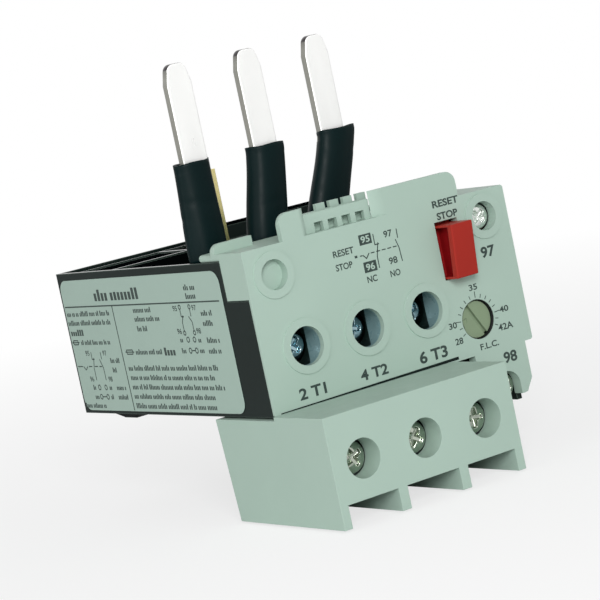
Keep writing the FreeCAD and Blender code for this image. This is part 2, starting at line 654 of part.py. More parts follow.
def housing_top(body):
    """Sunk panels between ribs, the rear ledge and hump, and the notches of the cover's returns."""
    right = WIDTH - s.rib_width
    top = s.housing_height + 1
    half = s.rib_width / 2
    front = s.top_depth + s.cover_fit
    cut(body, "XY", PANEL_LEVEL, top, rectangle(s.rib_width, right, front, s.rib_back - half))
    cut(body, "XY", PANEL_LEVEL, top,
        rectangle(s.rib_width, s.rib_side - half, s.rib_back + half, s.ledge_back - half),
        rectangle(s.rib_side + half, right, s.rib_back + half, s.ledge_back - half))
    cut(body, "XY", s.housing_height - s.ledge_sink, top,
        rectangle(s.rib_width, right, s.ledge_back, s.housing_depth - s.rib_width))
    add(body, "XY", CEILING, s.housing_height + s.hump_rise,
        rectangle(s.hump_left, right - s.rib_width, s.ledge_back - s.hump_depth, s.ledge_back))
    for low, high in ((-1, CAVITY_LEFT), (CAVITY_RIGHT, WIDTH + 1)):
        cut(body, "XZ", 0, s.return_depth + s.cover_fit,
            rectangle(low, high, RETURN_BOTTOM - s.cover_fit, top))


def housing_passages(body):
    """Holes for the stabs, the link strip, the bus bars, the trip slide and the upper auxiliary screw."""
    cut(body, "XZ", 0, AUX_PLATE_FRONT + s.aux_plate + s.aux_length,
        (*AUX_HIGH, s.aux_head_radius + s.running_gap))
    gap = s.running_gap
    for pole in POLES:
        half = s.stab_width / 2 + gap
        cut(body, "XY", CEILING - 1, s.housing_height + 1,
            rectangle(bay_middle(pole) - half, bay_middle(pole) + half,
                      s.stab_front - gap, s.stab_front + s.stab_thick + gap))
        bar = s.bar_width / 2 + gap
        cut(body, "XY", -1, s.housing_wall + 1,
            rectangle(screw_line(pole) - bar, screw_line(pole) + bar, BAR_FRONT - gap, LUG_FRONT + gap))
    cut(body, "XY", CEILING - 1, s.housing_height + 1,
        rectangle(LINK_LEFT - gap, s.link_right + gap, s.link_front - gap, LINK_BACK + gap))
    first_wall = partition_lines()[0] - s.partition
    last_wall = partition_lines()[-1] + s.partition
    cut(body, "YZ", first_wall, last_wall,
        rectangle(s.link_front - s.link_gap, LINK_BACK + s.link_gap,
                  s.link_foot - s.link_gap, LINK_TOP_RUN + s.link_gap))
    cut(body, "YZ", first_wall, last_wall,
        rectangle(s.slide_front - gap, SLIDE_BACK + gap, SLIDE_BOTTOM - gap, SLIDE_TOP + gap))


def terminal_block():
    """Grey terminal block: clamp bays open below, with a fin between each two and tubes to the screws."""
    body = new_body("terminal_block")
    front = -s.block_proud
    inside = front + s.block_front_wall
    under = -s.foot_height
    side = [(front, s.block_top), (front, -s.block_bottom), (s.block_back - s.block_taper, -s.block_bottom),
            (s.block_back, under), (-s.block_gap, under), (-s.block_gap, s.block_top)]
    block_right = BLOCK_LEFT + s.pole_pitch * s.pole_count
    fins = [bay_middle(pole) + s.pole_pitch / 2 for pole in POLES[:-1]]
    lefts = [BLOCK_LEFT + s.block_side] + [fin + s.block_wall / 2 for fin in fins]
    rights = [fin - s.block_wall / 2 for fin in fins] + [block_right - s.block_side]
    bays = list(zip(lefts, rights))
    add(body, "YZ", BLOCK_LEFT, block_right, side)
    bay_back = s.block_back - s.block_taper - s.block_back_wall
    cut(body, "XY", -s.block_bottom - 1, BAY_CEILING, *[rectangle(*bay, inside, bay_back) for bay in bays])
    cut(body, "XZ", front - 1, inside + 1,
        *[rectangle(*bay, -s.block_bottom - 1, -s.block_skirt) for bay in bays])
    bores = [(bay_middle(pole), s.block_screw_level) for pole in POLES]
    tube_end = BLOCK_HEAD_BACK - s.running_gap
    add(body, "XZ", inside, tube_end, *[(*bore, s.bore_radius + s.block_tube) for bore in bores])
    cut(body, "XZ", front - 1, tube_end + 1, *[(*bore, s.bore_radius) for bore in bores])
    gap = s.running_gap
    half = s.bar_width / 2 + gap
    cut(body, "XY", BAY_CEILING - s.bar_thick - gap, s.block_top + 1,
        *[rectangle(screw_line(pole) - half, screw_line(pole) + half, BAR_FRONT - half, LUG_FRONT + gap)
          for pole in POLES])
    return body


def rating_label():
    """Thin silver label on the left side, with round corners."""
    body = new_body("rating_label")
    add(body, "YZ", -s.label_thick, 0,
        rectangle(s.label_front, s.housing_depth - s.label_inset,
                  s.label_bottom, s.housing_height - s.label_drop))
    round_edges(body, "Fillet", s.label_radius, lambda edge: along(edge, "x"))
    return body


def stab_outline(pole, gap):
    """Cranked outline of a stab, or of the space it needs, from its root to its narrowed tip."""
    half = s.stab_width / 2 + gap
    tip = s.tip_width / 2 + gap
    root = bay_middle(pole)
    blade = blade_middle(pole)
    right = [(root + half, STAB_BOTTOM), (root + half, JOG_LOW), (blade + half, JOG_HIGH),
             (blade + half, SHOULDER), (blade + tip, SHOULDER + s.tip_length)]
    left = [(blade - tip, SHOULDER + s.tip_length), (blade - half, SHOULDER), (blade - half, JOG_HIGH),
            (root - half, JOG_LOW), (root - half, STAB_BOTTOM)]
    return right + left


def line_stab(pole):
    """Tinned copper stab: upright root, leaning middle and blade with a rounded tip."""
    body = new_body(f"line_stab_{pole + 1}")
    add(body, "XZ", s.stab_front, s.stab_front + s.stab_thick, stab_outline(pole, 0))
    round_edges(body, "Fillet", s.tip_radius,
                lambda edge: along(edge, "y") and is_at(edge, z=SHOULDER + s.tip_length))
    return body


def oval(x, half_wide, half_deep):
    """Level oval outline about the stabs' plane, drawn as short flats."""
    turns = [math.tau * flat / SLEEVE_FLATS for flat in range(SLEEVE_FLATS)]
    return [(x + half_wide * round(math.cos(turn), 6), ORIGIN[1] + half_deep * round(math.sin(turn), 6))
            for turn in turns]


def stab_sleeve(pole):
    """Black shrink sleeve round a stab: a flattened tube that leans with it and tucks in at its foot."""
    body = new_body(f"stab_sleeve_{pole + 1}")
    root = bay_middle(pole)
    side = pole - (s.pole_count - 1) / 2
    top = blade_middle(pole) + s.sleeve_shift + s.sleeve_splay * side
    half = s.sleeve_half + s.sleeve_step * side
    levels = [(PANEL_LEVEL + s.sleeve_gap, 0, root), (JOG_LOW, s.sleeve_flare, root), (JOG_HIGH, 0, top),
              (SLEEVE_TOP, 0, top)]
    rings = [new_sketch(body, "XY", z, [oval(x, half + flare, s.sleeve_deep + flare)])
             for z, flare, x in levels]
    tube = body.newObject("PartDesign::AdditiveLoft", f"{body.Name}_tube")
    tube.Profile = rings[0]
    tube.Sections = rings[1:]
    tube.Ruled = True
    for ring in rings:
        ring.Visibility = False
    cut(body, "XZ", s.stab_front - s.sleeve_gap, s.stab_front + s.stab_thick + s.sleeve_gap,
        stab_outline(pole, s.sleeve_gap))
    return body


def link_strip():
    """Brass strip of the closed contact: it plugs in beside the first stab and crosses the poles."""
    body = new_body("link_strip")
    end = CARRIAGE_LEFT - s.leaf_thick - s.running_gap * 4
    link_top = s.housing_height + s.link_rise
    outline = [(LINK_LEFT, s.link_foot), (end, s.link_foot), (end, LINK_TOP_RUN),
               (s.link_right, LINK_TOP_RUN), (s.link_right, link_top), (LINK_LEFT, link_top)]
    add(body, "XZ", s.link_front, LINK_BACK, outline)
    contact_rivet(body, end - s.leaf_width / 2,
                  s.closed_bridge + s.bridge_thick + s.contact_gap, s.link_front)
    return body


def contact_rivet(body, x, front, back):
    """Round contact between two stations, in line with the bridges."""
    add(body, "XZ", front, back, (x, s.bridge_level + s.bridge_height / 2, s.rivet_radius))


def turned(x, z, radius, angle):
    """A point at a radius and an angle in degrees about a centre in the front plane."""
    return (x + radius * math.cos(math.radians(angle)), z + radius * math.sin(math.radians(angle)))


def turned_bar(x, z, length, width, angle):
    """Corners of a bar centred on a point and turned by an angle."""
    slope = math.atan2(float(width), float(length))
    reach = length / 2 / math.cos(slope)
    spread = math.degrees(slope)
    return [turned(x, z, reach, angle + turn) for turn in (-spread, spread, 180 - spread, 180 + spread)]


def screw(label, x, z, front, radius, thick, shank, length):
    """Pan head screw with a driver cross, its axis along Y."""
    body = new_body(label)
    back = front + thick
    add(body, "XZ", front, back, (x, z, radius))
    round_edges(body, "Chamfer", s.head_edge,
                lambda edge: edge.Curve.TypeId == "Part::GeomCircle" and is_at(edge, y=front))
    add(body, "XZ", back, back + length, (x, z, shank))
    for angle in (35, 125):
        cut(body, "XZ", front - 1, front + s.recess_depth,
            turned_bar(x, z, radius * 1.2, s.recess_width, angle))
    return body


def reset_button():
    """Red push button: slanted face, hollowed sides, retaining flange and stem."""
    body = new_body("reset_button")
    back = s.cover_plate + s.button_gap
    face = [(-s.button_proud, BUTTON_TOP), (s.button_slant - s.button_proud, BUTTON_BOTTOM),
            (back, BUTTON_BOTTOM), (back, BUTTON_TOP)]
    add(body, "YZ", BUTTON_LEFT, BUTTON_RIGHT, face)
    rim = s.button_rim
    hollow = rectangle(s.button_slant - s.button_proud, -s.button_gap, BUTTON_BOTTOM + rim, BUTTON_TOP - rim)
    for start, end in ((BUTTON_LEFT - 1, BUTTON_LEFT + rim), (BUTTON_RIGHT - rim, BUTTON_RIGHT + 1)):
        cut(body, "YZ", start, end, hollow)
    flange_back = back + s.flange_thick
    add(body, "XZ", back, flange_back,
        rectangle(BUTTON_LEFT, BUTTON_RIGHT, BUTTON_BOTTOM - s.button_flange, BUTTON_TOP + s.button_flange))
    add(body, "XZ", flange_back, flange_back + s.stem_length, (*STEM, s.stem_radius))
    return body


def reset_spring():
    """Return spring round the button's stem, between its flange and the mechanism frame."""
    start = s.cover_plate + s.button_gap + s.flange_thick + s.spring_wire
    length = s.frame_front - s.spring_wire - start
    path = doc.addObject("Part::Helix", "reset_spring_path")
    bind(path, Pitch=length / s.spring_turns, Height=length, Radius=s.spring_radius)
    path.Placement.Rotation = FreeCAD.Rotation(FreeCAD.Vector(1, 0, 0), -90)
    wire = doc.addObject("Part::RegularPolygon", "reset_spring_wire")
    wire.Polygon = 6
    bind(wire, Circumradius=s.spring_wire)
    middle = (STEM[0], start, STEM[1])
    for axis, centre, edge in zip("xyz", middle, (s.spring_radius, 0, 0)):
        path.setExpression(f"Placement.Base.{axis}", centre.formula)
        wire.setExpression(f"Placement.Base.{axis}", (centre + edge).formula)
    coil = doc.addObject("Part::Sweep", "reset_spring")
    coil.Sections = [wire]
    doc.recompute()
    coil.Spine = (path, [f"Edge{number}" for number in range(1, len(path.Shape.Edges) + 1)])
    coil.Solid = True
    coil.Frenet = True
    return seat(coil, "reset_spring")


def current_dial():
    """Current dial: slotted head held behind the cover by a collar, shaft and off-centre cam."""
    body = new_body("current_dial")
    x, z = DIAL
    head_back = s.dial_sink + s.dial_head
    shaft_back = head_back + s.shaft_length
    add(body, "XZ", s.dial_sink, head_back, (x, z, s.dial_radius))
    add(body, "XZ", s.cover_plate + s.button_gap, head_back, (x, z, s.dial_radius + s.dial_collar))
    add(body, "XZ", head_back, shaft_back, (x, z, s.shaft_radius))
    add(body, "XZ", shaft_back - s.cam_thick, shaft_back, (x, z + s.cam_throw, s.cam_radius))
    cut(body, "XZ", 0, s.dial_sink + s.dial_slot, turned_bar(x, z, s.dial_radius * 2 + 1, s.dial_slot, -60))
    arrow = [turned(x, z, s.dial_radius * reach, angle)
             for reach, angle in ((0.95, 174.3), (0.62, 188), (0.62, 160))]
    cut(body, "XZ", 0, s.dial_sink + s.arrow_depth, arrow)
    return body


def clamp_cage(pole):
    """Steel clamp cage: threaded front wall, wire opening and back wall."""
    body = new_body(f"clamp_cage_{pole + 1}")
    x = bay_middle(pole)
    half = s.cage_width / 2
    low = s.block_screw_level - s.cage_height / 2
    high = s.block_screw_level + s.cage_height / 2
    add(body, "XZ", CAGE_FRONT, CAGE_BACK, rectangle(x - half, x + half, low, high))
    inner = half - s.cage_wall
    window = rectangle(x - inner, x + inner, CAGE_FRONT + s.cage_front_wall, CAGE_BACK - s.cage_wall)
    cut(body, "XY", low - 1, high + 1, window)
    cut(body, "XZ", CAGE_FRONT - 1, CAGE_FRONT + s.cage_front_wall + 1,
        (x, s.block_screw_level, s.thread_radius + s.turning_gap))
    return body


def bus_bar(pole):
    """Copper bar from a block clamp, under the block's roof and up behind a main screw's head."""
    body = new_body(f"bus_bar_{pole + 1}")
    x = bay_middle(pole)
    line = screw_line(pole)
    half = s.bar_width / 2
    top = BAY_CEILING
    low = top - s.bar_thick
    tongue_end = s.block_screw_level - s.head_radius
    head = s.screw_level + s.head_radius + s.running_gap
    add(body, "XZ", TONGUE_FRONT, TONGUE_FRONT + s.bar_thick, rectangle(x - half, x + half, tongue_end, top))
    run = [(x - half, TONGUE_FRONT), (x + half, TONGUE_FRONT), (x + half, 0), (line + half, BAR_FRONT),
           (line + half, LUG_FRONT), (line - half, LUG_FRONT), (line - half, BAR_FRONT), (x - half, 0)]
    add(body, "XY", low, top, run)
    add(body, "XZ", BAR_FRONT, LUG_FRONT, rectangle(line - half, line + half, low, head))
    cut(body, "XZ", BAR_FRONT - 1, LUG_FRONT + 1, (line, s.screw_level, s.thread_radius + s.turning_gap))
    return body


def load_lug(pole):
    """Copper lug behind a bus bar, threaded for the main screw, with a foot that carries the bimetal."""
    body = new_body(f"load_lug_{pole + 1}")
    line = screw_line(pole)
    half = s.bar_width / 2
    foot_top = s.housing_wall + s.bar_thick
    lug_top = s.screw_level + s.head_radius
    outline = [(LUG_FRONT, s.housing_wall), (BIMETAL_BACK, s.housing_wall), (BIMETAL_BACK, foot_top),
               (LUG_BACK, foot_top), (LUG_BACK, lug_top), (LUG_FRONT, lug_top)]
    add(body, "YZ", line - half, line + half, outline)
    cut(body, "XZ", LUG_FRONT - 1, LUG_BACK + 1, (line, s.screw_level, s.thread_radius + s.turning_gap))
    return body


def bimetal(pole):
    """Bimetal strip that stands on its lug and bends towards the trip slide's finger when hot."""
    body = new_body(f"bimetal_{pole + 1}")
    line = screw_line(pole)
    half = s.bimetal_thick / 2
    add(body, "XY", s.housing_wall + s.bar_thick, SLIDE_BOTTOM + s.bimetal_overlap,
        rectangle(line - half, line + half, BIMETAL_FRONT, BIMETAL_BACK))
    return body


def heater(pole):
    """Resistance ribbon wound round a bimetal, with its leads to the stab and to the lug."""
    body = new_body(f"heater_{pole + 1}")
    line = screw_line(pole)
    gap = s.heater_gap
    half_in = s.bimetal_thick / 2 + gap
    half_out = half_in + s.heater_thick
    front_in = BIMETAL_FRONT - gap
    back_in = BIMETAL_BACK + gap
    foot = s.housing_wall + s.bar_thick
    lead_top = STAB_BOTTOM + s.heater_ribbon
    pitch = (STAB_BOTTOM - foot) / s.heater_turns
    add(body, "XY", foot, lead_top,
        rectangle(line - half_out, line - half_in, BIMETAL_FRONT, BIMETAL_FRONT + s.heater_ribbon))
    for turn in range(int(float(s.heater_turns))):
        low = foot + pitch * (turn + 1)
        high = low + s.heater_ribbon
        outside = rectangle(line - half_out, line + half_out,
                            front_in - s.heater_thick, back_in + s.heater_thick)
        hole = rectangle(line - half_in, line + half_in, front_in, back_in)
        add(body, "XY", low, high, outside, hole)
    add(body, "XY", STAB_BOTTOM, lead_top,
        rectangle(line - half_out - s.heater_thick, line - half_out, s.stab_front + s.stab_thick, back_in))
    return body


def trip_slide():
    """Insulating slide across the three poles, with a finger beside each bimetal."""
    body = new_body("trip_slide")
    left = screw_line(0) - s.bimetal_width / 2
    right = LEVER[0] - LEVER_HALF - s.running_gap
    add(body, "XZ", s.slide_front, SLIDE_BACK, rectangle(left, right, SLIDE_BOTTOM, SLIDE_TOP))
    start = s.bimetal_thick / 2 + s.finger_gap
    for pole in POLES:
        finger = screw_line(pole) + start
        add(body, "XZ", s.bimetal_middle + s.finger_gap, s.slide_front,
            rectangle(finger, finger + s.slide_thick, SLIDE_BOTTOM, SLIDE_TOP))
    return body


def trip_lever():
    """Lever on an upright pin: the slide swings its rear arm and its nose drives the contact carriage."""
    body = new_body("trip_lever")
    x, y = LEVER
    half = LEVER_HALF
    add(body, "XY", s.lever_bottom, SLIDE_TOP, (x, y, s.lever_bore + half))
    add(body, "XY", SLIDE_BOTTOM, SLIDE_TOP, rectangle(x - half, x + half, y, SLIDE_BACK))
    nose_left = x + s.lever_reach - half
    nose_right = x + s.lever_reach + half
    nose_front = s.carriage_back + s.running_gap
    nose = [(x, y - half), (nose_left, y - half), (nose_left, nose_front), (nose_right, nose_front),
            (nose_right, y + half), (x, y + half)]
    add(body, "XY", s.lever_bottom, s.lever_bottom + s.lever_nose, nose)
    cut(body, "XY", s.lever_bottom - 1, SLIDE_TOP + 1, (x, y, s.lever_bore))
    return body


def lever_pin():
    """Steel pin of the trip lever, from the housing's floor to its ceiling."""
    body = new_body("lever_pin")
    add(body, "XY", s.housing_wall, CEILING, (*LEVER, s.pin_radius))
    return body


def mechanism_frame():
    """Moulded frame of the mechanism: a web that guides the button's stem, and the carriage's shelf."""
    body = new_body("mechanism_frame")
    back = s.frame_front + s.frame_thick
    add(body, "XZ", s.frame_front, back,
        rectangle(MECHANISM + s.partition / 2, FRAME_RIGHT, s.frame_bottom, CEILING))
    shelf_top = s.carriage_level - s.running_gap
    add(body, "XZ", back, s.carriage_back,
        rectangle(CARRIAGE_LEFT, CARRIAGE_RIGHT, shelf_top - s.frame_thick, shelf_top))
    cut(body, "XZ", s.frame_front - 1, back + 1, (*STEM, s.stem_radius + s.turning_gap))
    return body


def contact_carriage():
    """Insulating carriage with a slot for each contact bridge."""
    body = new_body("contact_carriage")
    add(body, "XZ", s.carriage_front, s.carriage_back,
        rectangle(CARRIAGE_LEFT, CARRIAGE_RIGHT, s.carriage_level, s.carriage_level + s.carriage_height))
    slot_top = s.bridge_level + s.bridge_height
    for front in (s.closed_bridge, s.open_bridge):
        cut(body, "XZ", front, front + s.bridge_thick,
            rectangle(CARRIAGE_LEFT - 1, CARRIAGE_RIGHT + 1, s.bridge_level, slot_top))
    return body


def contact_bridge(label, front):
    """Silvered contact bridge through the carriage."""
    body = new_body(label)
    add(body, "XZ", front, front + s.bridge_thick,
        rectangle(CARRIAGE_LEFT - s.bridge_reach, CARRIAGE_RIGHT + s.bridge_reach,
                  s.bridge_level, s.bridge_level + s.bridge_height))
    return body


def contact_leaf_95():
    """Fixed leaf of the closed contact, standing on the housing's floor."""
    body = new_body("contact_leaf_95")
    add(body, "XZ", s.link_front, LINK_BACK,
        rectangle(LEAF_LEFT, LEAF_LEFT + s.leaf_width, s.housing_wall, s.leaf_top))
    contact_rivet(body, LEAF_LEFT + s.leaf_width / 2,
                  s.closed_bridge + s.bridge_thick + s.contact_gap, s.link_front)
    return body


def aux_terminal_97():
    """Upper auxiliary terminal: clamp plate, run along the right wall and fixed leaf of the open contact."""
    body = new_body("aux_terminal_97")
    x, z = AUX_HIGH
    half = s.aux_head_radius
    plate_back = AUX_PLATE_FRONT + s.aux_plate
    low = z - half
    run_low = low - s.aux_plate
    leaf_right = LEAF_LEFT + s.leaf_width
    add(body, "XZ", AUX_PLATE_FRONT, plate_back,
        rectangle(x - half, x + half, run_low, z + s.aux_thread_radius))
    cut(body, "XZ", AUX_PLATE_FRONT - 1, plate_back + 1, (x, z, s.aux_thread_radius + s.turning_gap))
    add(body, "XY", run_low, low,
        rectangle(FRAME_RIGHT + s.running_gap, leaf_right, AUX_PLATE_FRONT, OPEN_LEAF_BACK))
    add(body, "XZ", OPEN_LEAF_BACK - s.leaf_thick, OPEN_LEAF_BACK,
        rectangle(LEAF_LEFT, leaf_right, s.bridge_level - s.rivet_radius, low))
    contact_rivet(body, LEAF_LEFT + s.leaf_width / 2, OPEN_LEAF_BACK, OPEN_FACE)
    return body


def aux_terminal_98():
    """Lower auxiliary terminal: clamp plate in its chamber, run over the floor and fixed leaf."""
    body = new_body("aux_terminal_98")
    x, z = AUX_LOW
    half = s.aux_head_radius
    plate_left = x - half
    plate_back = AUX_PLATE_FRONT + s.aux_plate
    floor = s.housing_wall
    run_top = floor + s.aux_plate
    run_back = OPEN_LEAF_BACK - s.leaf_thick * 2
    add(body, "XZ", AUX_PLATE_FRONT, plate_back, rectangle(plate_left, x + half, z - half, run_top))
    cut(body, "XZ", AUX_PLATE_FRONT - 1, plate_back + 1, (x, z, s.aux_thread_radius + s.turning_gap))
    leaf_left = CARRIAGE_LEFT - s.bridge_reach
    run_right = plate_left + s.leaf_width
    run = [(plate_left, AUX_PLATE_FRONT), (run_right, AUX_PLATE_FRONT), (run_right, OPEN_LEAF_BACK),
           (leaf_left, OPEN_LEAF_BACK), (leaf_left, run_back), (plate_left, run_back)]
    add(body, "XY", floor, run_top, run)
    add(body, "XZ", OPEN_LEAF_BACK - s.leaf_thick, OPEN_LEAF_BACK,
        rectangle(leaf_left, leaf_left + s.leaf_width, floor, s.leaf_top))
    contact_rivet(body, leaf_left + s.leaf_width / 2, OPEN_LEAF_BACK, OPEN_FACE)
    return body


def build():
    """Make every sub-part."""
    front_cover()
    rear_housing()
    terminal_block()
    rating_label()
    link_strip()
    reset_button()
    reset_spring()
    current_dial()
    for pole in POLES:
        line_stab(pole)
        stab_sleeve(pole)
        screw(f"main_screw_{pole + 1}", screw_line(pole), s.screw_level, s.main_head_front,
              s.head_radius, s.head_thick, s.thread_radius, s.main_length)
        screw(f"block_screw_{pole + 1}", bay_middle(pole), s.block_screw_level, BLOCK_HEAD_FRONT,
              s.head_radius, s.head_thick, s.thread_radius, s.cage_start + s.cage_front_wall)
        clamp_cage(pole)
        bus_bar(pole)
        load_lug(pole)
        bimetal(pole)
        heater(pole)
    for name, x, z in (("97", *AUX_HIGH), ("98", *AUX_LOW)):
        screw(f"aux_screw_{name}", x, z, s.aux_head_front, s.aux_head_radius, s.aux_head_thick,
              s.aux_thread_radius, s.aux_length)
    trip_slide()
    trip_lever()
    lever_pin()
    mechanism_frame()
    contact_carriage()
    contact_bridge("closed_bridge", s.closed_bridge)
    contact_bridge("open_bridge", s.open_bridge)
    contact_leaf_95()
    aux_terminal_97()
    aux_terminal_98()


def check_and_export():
    """Stop on any failed object or bad shape, then write one STEP file for each sub-part."""
    doc.recompute()
    failed = [item.Name for item in doc.Objects if "Invalid" in item.State or "Error" in item.State]
    if failed:
        raise RuntimeError(f"failed objects: {failed}")
    os.makedirs("parts", exist_ok=True)
    for node in nodes:
        shape = node.Shape
        if shape.isNull() or not shape.isValid() or not shape.Solids:
            raise RuntimeError(f"bad shape: {node.Label}")
    for node in nodes:
        node.Shape.exportStep(f"parts/{node.Label}.step")
    print(f"{len(nodes)} sub-parts written")


build()
check_and_export()
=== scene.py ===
import math
import random

import bmesh
import bpy
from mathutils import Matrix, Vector


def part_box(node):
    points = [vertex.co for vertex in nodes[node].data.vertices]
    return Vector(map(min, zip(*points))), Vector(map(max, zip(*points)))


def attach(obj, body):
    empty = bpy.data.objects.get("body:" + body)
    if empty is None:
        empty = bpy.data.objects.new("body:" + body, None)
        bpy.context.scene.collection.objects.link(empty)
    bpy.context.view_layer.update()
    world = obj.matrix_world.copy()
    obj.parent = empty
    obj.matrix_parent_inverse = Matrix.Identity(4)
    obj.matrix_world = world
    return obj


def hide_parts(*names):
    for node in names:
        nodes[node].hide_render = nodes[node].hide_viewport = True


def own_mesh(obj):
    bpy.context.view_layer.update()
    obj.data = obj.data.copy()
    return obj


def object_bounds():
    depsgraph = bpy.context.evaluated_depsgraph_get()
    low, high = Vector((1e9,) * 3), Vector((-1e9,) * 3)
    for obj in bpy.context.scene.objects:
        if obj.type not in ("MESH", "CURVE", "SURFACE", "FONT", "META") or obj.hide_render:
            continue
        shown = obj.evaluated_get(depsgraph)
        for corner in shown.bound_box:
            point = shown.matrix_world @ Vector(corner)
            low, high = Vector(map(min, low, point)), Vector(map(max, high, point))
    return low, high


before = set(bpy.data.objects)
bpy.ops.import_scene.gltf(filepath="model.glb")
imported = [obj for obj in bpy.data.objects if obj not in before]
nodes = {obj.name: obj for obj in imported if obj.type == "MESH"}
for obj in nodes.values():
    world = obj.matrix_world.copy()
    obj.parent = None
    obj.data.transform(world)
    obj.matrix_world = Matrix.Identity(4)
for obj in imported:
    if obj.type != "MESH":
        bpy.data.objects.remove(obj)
cad_low, cad_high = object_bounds()


# Rear housing: the deep black box that every other piece is fixed to.
# It is taken as glass-filled polyamide, moulded in one shot with its chambers and the ribs of its top.
# Its skin has the fine grain of an eroded mould and a faint cloud.
MM = 0.001
CORNER = Vector((-24.85, -23.0, -51.5))
HOUSING_ARRIS = 0.00022
CLOUD_THIN = 0.25
CLOUD_DENSE = 0.75
GLOSS_PLAY = 0.06
GRAIN_DEPTH = 0.00003
WELD_REACH = 0.000002
FLAT_WITHIN = math.radians(0.5)
ARRIS_FROM = math.radians(40)


def place(x, y, z):
    """A point given in millimetres from the cover's lower left corner, as a point of the row in metres."""
    return (CORNER + Vector((x, y, z))) * MM


def drawn(corner):
    """A corner from the frame, in millimetres from the cover's lower left corner."""
    return Vector(corner) / MM - CORNER


def srgb(red, green, blue):
    """A colour read as 0 to 255 screen values, made linear."""
    def linear(value):
        value /= 255
        return value / 12.92 if value <= 0.04045 else ((value + 0.055) / 1.055) ** 2.4
    return (linear(red), linear(green), linear(blue), 1.0)


def feed(tree, socket, value):
    """Set a socket to a number or a colour, or link another node's output to it."""
    if isinstance(value, bpy.types.NodeSocket):
        tree.links.new(value, socket)
    else:
        socket.default_value = value


def worked(tree, operation, *values):
    """What a Math node makes of numbers or outputs."""
    node = tree.nodes.new("ShaderNodeMath")
    node.operation = operation
    for socket, value in zip(node.inputs, values):
        feed(tree, socket, value)
    return node.outputs["Value"]


def spread(tree, value, low, high, from_low=0.0, from_high=1.0):
    """A number that goes from low to high while an output goes from one bound to the other."""
    node = tree.nodes.new("ShaderNodeMapRange")
    tree.links.new(value, node.inputs["Value"])
    for name, bound in (("From Min", from_low), ("From Max", from_high), ("To Min", low), ("To Max", high)):
        node.inputs[name].default_value = bound
    return node.outputs["Result"]


def blended(tree, share, first, second):
    """A colour between two, each of them a colour or an output."""
    node = tree.nodes.new("ShaderNodeMix")
    node.data_type = "RGBA"
    for name, value in (("Factor", share), ("A", first), ("B", second)):
        feed(tree, node.inputs[name], value)
    return node.outputs["Result"]


def component(tree, vector, axis):
    """One of a vector's three numbers."""
    split = tree.nodes.new("ShaderNodeSeparateXYZ")
    tree.links.new(vector, split.inputs[0])
    return split.outputs[axis]


def cloudy(tree, where, scale, detail):
    """Noise over the piece."""
    noise = tree.nodes.new("ShaderNodeTexNoise")
    noise.inputs["Scale"].default_value = scale
    noise.inputs["Detail"].default_value = detail
    tree.links.new(where, noise.inputs["Vector"])
    return noise.outputs["Fac"]


def noise_between(tree, where, scale, detail, socket, low, high):
    """Let cloudy noise move a socket between two colours or two numbers, and give the noise back."""
    noise = cloudy(tree, where, scale, detail)
    if isinstance(low, tuple):
        level = blended(tree, noise, low, high)
    else:
        level = spread(tree, noise, low, high, CLOUD_THIN, CLOUD_DENSE)
    tree.links.new(level, socket)
    return noise


def relief(tree, shader, height, strength, depth):
    """Raise and sink a skin by a noise."""
    bump = tree.nodes.new("ShaderNodeBump")
    bump.inputs["Strength"].default_value = strength
    bump.inputs["Distance"].default_value = depth
    tree.links.new(height, bump.inputs["Height"])
    tree.links.new(bump.outputs["Normal"], shader.inputs["Normal"])


def new_skin(name):
    """A new material, with its nodes, its shader and the place on the piece."""
    skin = bpy.data.materials.new(name)
    skin.use_nodes = True
    tree = skin.node_tree
    where = tree.nodes.new("ShaderNodeTexCoord").outputs["Object"]
    return skin, tree, tree.nodes["Principled BSDF"], where


def surface(name, colour, roughness, gloss=0.35, cloud=0.05, cloud_scale=90, grain=0.25,
            grain_scale=5200):
    """A moulded or printed skin: clouded colour, uneven gloss and a fine grain."""
    skin, tree, shader, where = new_skin(name)
    shader.inputs["Specular IOR Level"].default_value = gloss
    darker, lighter = (tuple(min(1, channel * level) for channel in colour[:3]) + (1.0,)
                       for level in (1 - cloud, 1 + cloud))
    noise_between(tree, where, cloud_scale, 3, shader.inputs["Base Color"], darker, lighter)
    noise_between(tree, where, cloud_scale * 6, 2, shader.inputs["Roughness"],
                  roughness - GLOSS_PLAY, roughness + GLOSS_PLAY)
    relief(tree, shader, cloudy(tree, where, grain_scale, 2), grain, GRAIN_DEPTH)
    return skin


def finish_node(name, material):
    """Give a CAD node its material."""
    piece = nodes[name]
    piece.data.materials.clear()
    piece.data.materials.append(material)
    return piece


def round_arrises(piece, width):
    """Break the sharp arrises of a moulded or stamped piece."""
    weld = piece.modifiers.new("weld", "WELD")
    weld.merge_threshold = WELD_REACH
    flat = piece.modifiers.new("flat", "DECIMATE")
    flat.decimate_type = "DISSOLVE"
    flat.angle_limit = FLAT_WITHIN
    arris = piece.modifiers.new("arris", "BEVEL")
    arris.width = width
    arris.segments = 2
    arris.limit_method = "ANGLE"
    arris.angle_limit = ARRIS_FROM
    shade = piece.modifiers.new("shade", "WEIGHTED_NORMAL")
    shade.keep_sharp = False


def ring_of(mesh, points):
    """Points given in millimetres, as a ring of corners of a mesh."""
    return [mesh.verts.new(place(*point)) for point in points]


def join_rings(mesh, first, second, slot=0):
    """Skin the strip between two rings that have as many corners."""
    for corner in range(len(first)):
        following = (corner + 1) % len(first)
        face = mesh.faces.new((first[corner], first[following], second[following], second[corner]))
        face.material_index = slot


